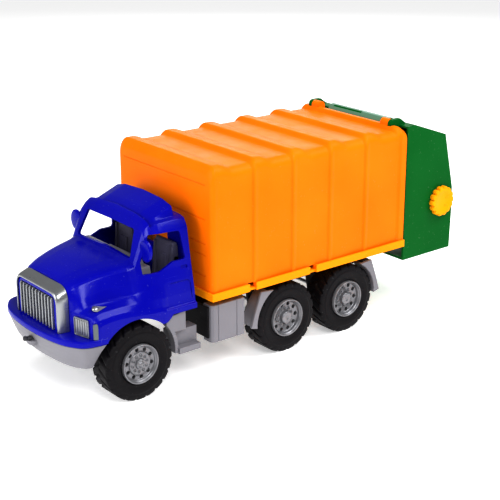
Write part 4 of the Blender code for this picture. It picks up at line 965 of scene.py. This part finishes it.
def hook():
    """Tapered tongue with a round raised end."""
    rings = []
    for x, half, low, high in ((260.1, 2.9, 60.6, 63.4), (260.5, 3.2, 60.5, 63.6),
                               (263, 2.6, 60.5, 63.6), (265.4, 2.0, 60.6, 63.4),
                               (266, 1.9, 60.7, 63.3)):
        outline = rounded(rectangle((-half, low), (half, high)), 0.9, 4)
        rings.append([(x, y, z) for y, z in outline])
    button = [(0, 60.5), (1.7, 60.6), (2.3, 61.3), (2.5, 62.4), (2.4, 63.7), (1.7, 64.6),
              (0.8, 64.9), (0, 64.9)]
    maker = turned(button, (HOOK_X, 0), 20, loft(rings), "Z")
    piece("hook_moulding", maker, "chassis", "tow_hook", "dark_hook", sharp=50)


LIFT_X, LIFT_Z = -247.5, 130.0
KNOB_RADIUS = 18.4
KNOB_LOBES = 14
LOBE_STEPS = 12
LOBE_DEPTH = 3.1
LOBE_POWER = 0.55
KNOB_MARKS = ((LIFT_X - 5.5, LIFT_Z + 4.6), (LIFT_X - 4.5, LIFT_Z - 4.8))
MARK_HALF_LENGTH, MARK_HALF_WIDTH = 2.2, 0.6
KNOB_SECTIONS = ((84.8, 0.985, 1.0), (85.3, 1.0, 1.0), (89.6, 1.0, 1.0), (90.6, 0.975, 0.9),
                 (91.2, 0.93, 0.6), (91.35, 0.88, 0.3), (91.35, 0.62, 0.0), (90.9, 0.58, 0.0),
                 (90.9, 0.10, 0.0))


def knobs():
    """Hand knobs with rounded lobes, a raised ring and two small marks."""
    steps = KNOB_LOBES * LOBE_STEPS
    rings = []
    for y, scale, depth in KNOB_SECTIONS:
        ring = []
        for k in range(steps):
            turn = math.tau * k / steps
            lobe = abs(math.cos(KNOB_LOBES / 2 * turn)) ** LOBE_POWER
            radius = (KNOB_RADIUS - LOBE_DEPTH * depth * (1 - lobe)) * scale
            ring.append((LIFT_X + radius * math.cos(turn), y, LIFT_Z + radius * math.sin(turn)))
        rings.append(ring)
    maker = loft(rings)
    for x, z in KNOB_MARKS:
        block((x - MARK_HALF_LENGTH, 90.7, z - MARK_HALF_WIDTH),
              (x + MARK_HALF_LENGTH, 91.3, z + MARK_HALF_WIDTH), maker)
    left = piece("left_knob_moulding", maker, "lift", "left_knob", "yellow_plastic", sharp=40)
    reflected(left, "right_knob_moulding", "lift", "right_knob", "yellow_plastic")


BACKREST_LEVELS = ((88, 112.4, 125.2), (100, 112.5, 123.6), (118, 112.7, 121.0),
                   (132, 113.1, 120.1), (143.5, 113.4, 119.3), (146, 114.0, 118.6),
                   (147, 115.0, 117.4))
TRIM_ABOVE = 143
BENCH_HALF = 54.5
SEAT_INNER_Y, SEAT_OUTER_Y = 19, 54
BOLSTER, PANEL_INSET = 5, 11


def cushion(maker, low, high, lift, trim, bottom, top):
    """Part of a backrest between two places along Y, standing proud of its face by the lift."""
    rings = []
    for z, back, front in BACKREST_LEVELS:
        if bottom <= z <= top:
            shrink = trim if z > TRIM_ABOVE else 0
            outline = rectangle((back, low + shrink), (front + lift, high - shrink))
            rings.append([(x, y, z) for x, y in rounded(outline, [0.8, 1.6, 1.6, 0.8], 3)])
    loft(rings, maker)


def seats():
    """Bench and two backrests with a raised panel between side bolsters."""
    bench = rounded([(112.2, 76.4), (140, 76.4), (140, 96), (112.2, 94)], [0.5, 0.5, 4, 0.5], 5)
    maker = prism(bench, "Y", -BENCH_HALF, BENCH_HALF)
    for side in SIDES:
        low, high = on_side(side, SEAT_INNER_Y, SEAT_OUTER_Y)
        cushion(maker, low, high, 0.0, 1.5, 88, 147)
        cushion(maker, low, low + BOLSTER, 1.6, 0.8, 88, 144)
        cushion(maker, high - BOLSTER, high, 1.6, 0.8, 88, 144)
        cushion(maker, low + PANEL_INSET, high - PANEL_INSET, 1.5, 0, 100, 132)
    piece("seat_moulding", maker, "chassis", "seat_unit", "dark_grey_plastic", sharp=40)


def hatch_strip():
    """Facing painted a paler green to stand for the sheen of light on it, with a slot, on the
    tailgate's sloping roof lip between the hinge ears.
    """
    lip = rounded([(-187.05, 224.4), (-187.05, 225.4), (-191.7, 231.5), (-196.7, 231.7),
                   (-202.2, 228.6), (-202.2, 227.4), (-196, 226), (-190, 225)],
                  [0, 0.3, 0.9, 0.9, 0.3, 0, 0, 0], 4)
    slot_tool = block((-192.9, -43, 229.7), (-190.2, 5, 233))
    # The paler green below is painted sheen: light on the sloping lip, painted into the colour
    maker = carved(prism(lip, "Y", -49.6, 49.6), slot_tool)
    piece("hatch_strip_moulding", maker, "tailgate_body", "tailgate", "green_plastic",
          MATERIALS["painted_sheen_green"], sharp=35)


# -------- assembly

PAIRED_WIDTHS = {"step": 0.8, "toolbox": 0.9, "front_mudguard": 0.7, "rear_mudguard": 0.7}
SOFT = {f"{side}_{kind}": ("grey_plastic", width)
        for kind, width in PAIRED_WIDTHS.items() for side in ("left", "right")}
SOFT.update({
    "dashboard": ("grey_plastic", 0.8),
    # The paler orange on the body floor is painted light on its lip
    "body_floor": ("yellow_orange_plastic", 0.6),
    "tailgate": ("green_plastic", 1.0),
    "lift_fork": ("yellow_plastic", 0.6),
    # The frame's near-black colour is painted shade under the body
    "chassis_frame": ("dark_frame", 0.5),
})
STEEL_NODES = [f"{place}_axle" for place in AXLES] + ["tip_pin"]
STEEL_NODES += [f"frame_screw_{k}" for k in range(1, 5)]
FLOOR_HALF, FLOOR_DEPTH = 6000, 20
PAPER = {
    "Base Color": (0.9, 0.9, 0.9, 1),
    "Roughness": 0.9,
    "Emission Color": (1, 1, 1, 1),
    "Emission Strength": 0.5,
}
SKY_STRENGTH = 0.38
VIEW_GAMMA = 0.76
LIGHTS = {
    "key_light": (14, 0.6, (0.6, 1.15, 1.15)),
    "front_light": (12, 0.8, (1.45, -0.15, 0.65)),
    "top_light": (19, 0.9, (-0.6, 0.6, 1.35)),
    "back_light": (8, 1.0, (-1.35, -1.6, 0.95)),
}
LIGHT_TARGET = (0, 0, 0.1)
CAMERA_TARGET = (-0.0256, 0, 0.09285)
CAMERA_AZIMUTH, CAMERA_ELEVATION = 141.1, 19.44
CAMERA_DISTANCE = 1.4108
CAMERA_LENS, SENSOR_WIDTH = 88.65, 36


def simple_pieces():
    """CAD nodes shown with softened edges, and steel ones shown as they are."""
    for node, (slot, width) in SOFT.items():
        softened(node, slot, width)
    for node in STEEL_NODES:
        mesh = frame["nodes"][node].data
        mesh.materials.clear()
        mesh.materials.append(MATERIALS["steel"])


def aim_at(name, data, spot, target):
    """A light or camera at a place, looking at a target."""
    holder = bpy.data.objects.new(name, data)
    holder.location = spot
    holder.rotation_euler = (target - spot).to_track_quat("-Z", "Y").to_euler()
    bpy.context.scene.collection.objects.link(holder)
    return holder


def studio():
    """Pale floor and background, with soft lights from in front, above and behind."""
    scene = bpy.context.scene
    scene.view_settings.view_transform = "Standard"
    scene.view_settings.gamma = VIEW_GAMMA
    plan = rectangle((-FLOOR_HALF, -FLOOR_HALF), (FLOOR_HALF, FLOOR_HALF))
    floor = piece("studio_floor", prism(plan, "Z", -FLOOR_DEPTH, 0))
    paper = bpy.data.materials.new("white_paper")
    paper.use_nodes = True
    for name, value in PAPER.items():
        paper.node_tree.nodes["Principled BSDF"].inputs[name].default_value = value
    floor.data.materials.append(paper)
    world = bpy.data.worlds.new("studio")
    world.use_nodes = True
    world.node_tree.nodes["Background"].inputs["Color"].default_value = (1, 1, 1, 1)
    world.node_tree.nodes["Background"].inputs["Strength"].default_value = SKY_STRENGTH
    scene.world = world
    for name, (energy, size, spot) in LIGHTS.items():
        light = bpy.data.lights.new(name, "AREA")
        light.energy = energy
        light.size = size
        aim_at(name, light, Vector(spot), Vector(LIGHT_TARGET))


def camera():
    """A long lens from the front left, a little above the truck."""
    azimuth, elevation = math.radians(CAMERA_AZIMUTH), math.radians(CAMERA_ELEVATION)
    lens = bpy.data.cameras.new("camera")
    lens.sensor_width = SENSOR_WIDTH
    lens.lens = CAMERA_LENS
    target = Vector(CAMERA_TARGET)
    level = Vector((math.sin(azimuth), -math.cos(azimuth), 0))
    away = level * math.cos(elevation) + Vector((0, 0, math.sin(elevation)))
    holder = aim_at("camera", lens, target + away * CAMERA_DISTANCE, target)
    bpy.context.scene.camera = holder


wheels()
body_shell()
cab()
grille()
headlamp()
small_lamps()
bumper()
hook()
knobs()
seats()
hatch_strip()
simple_pieces()
studio()
camera()
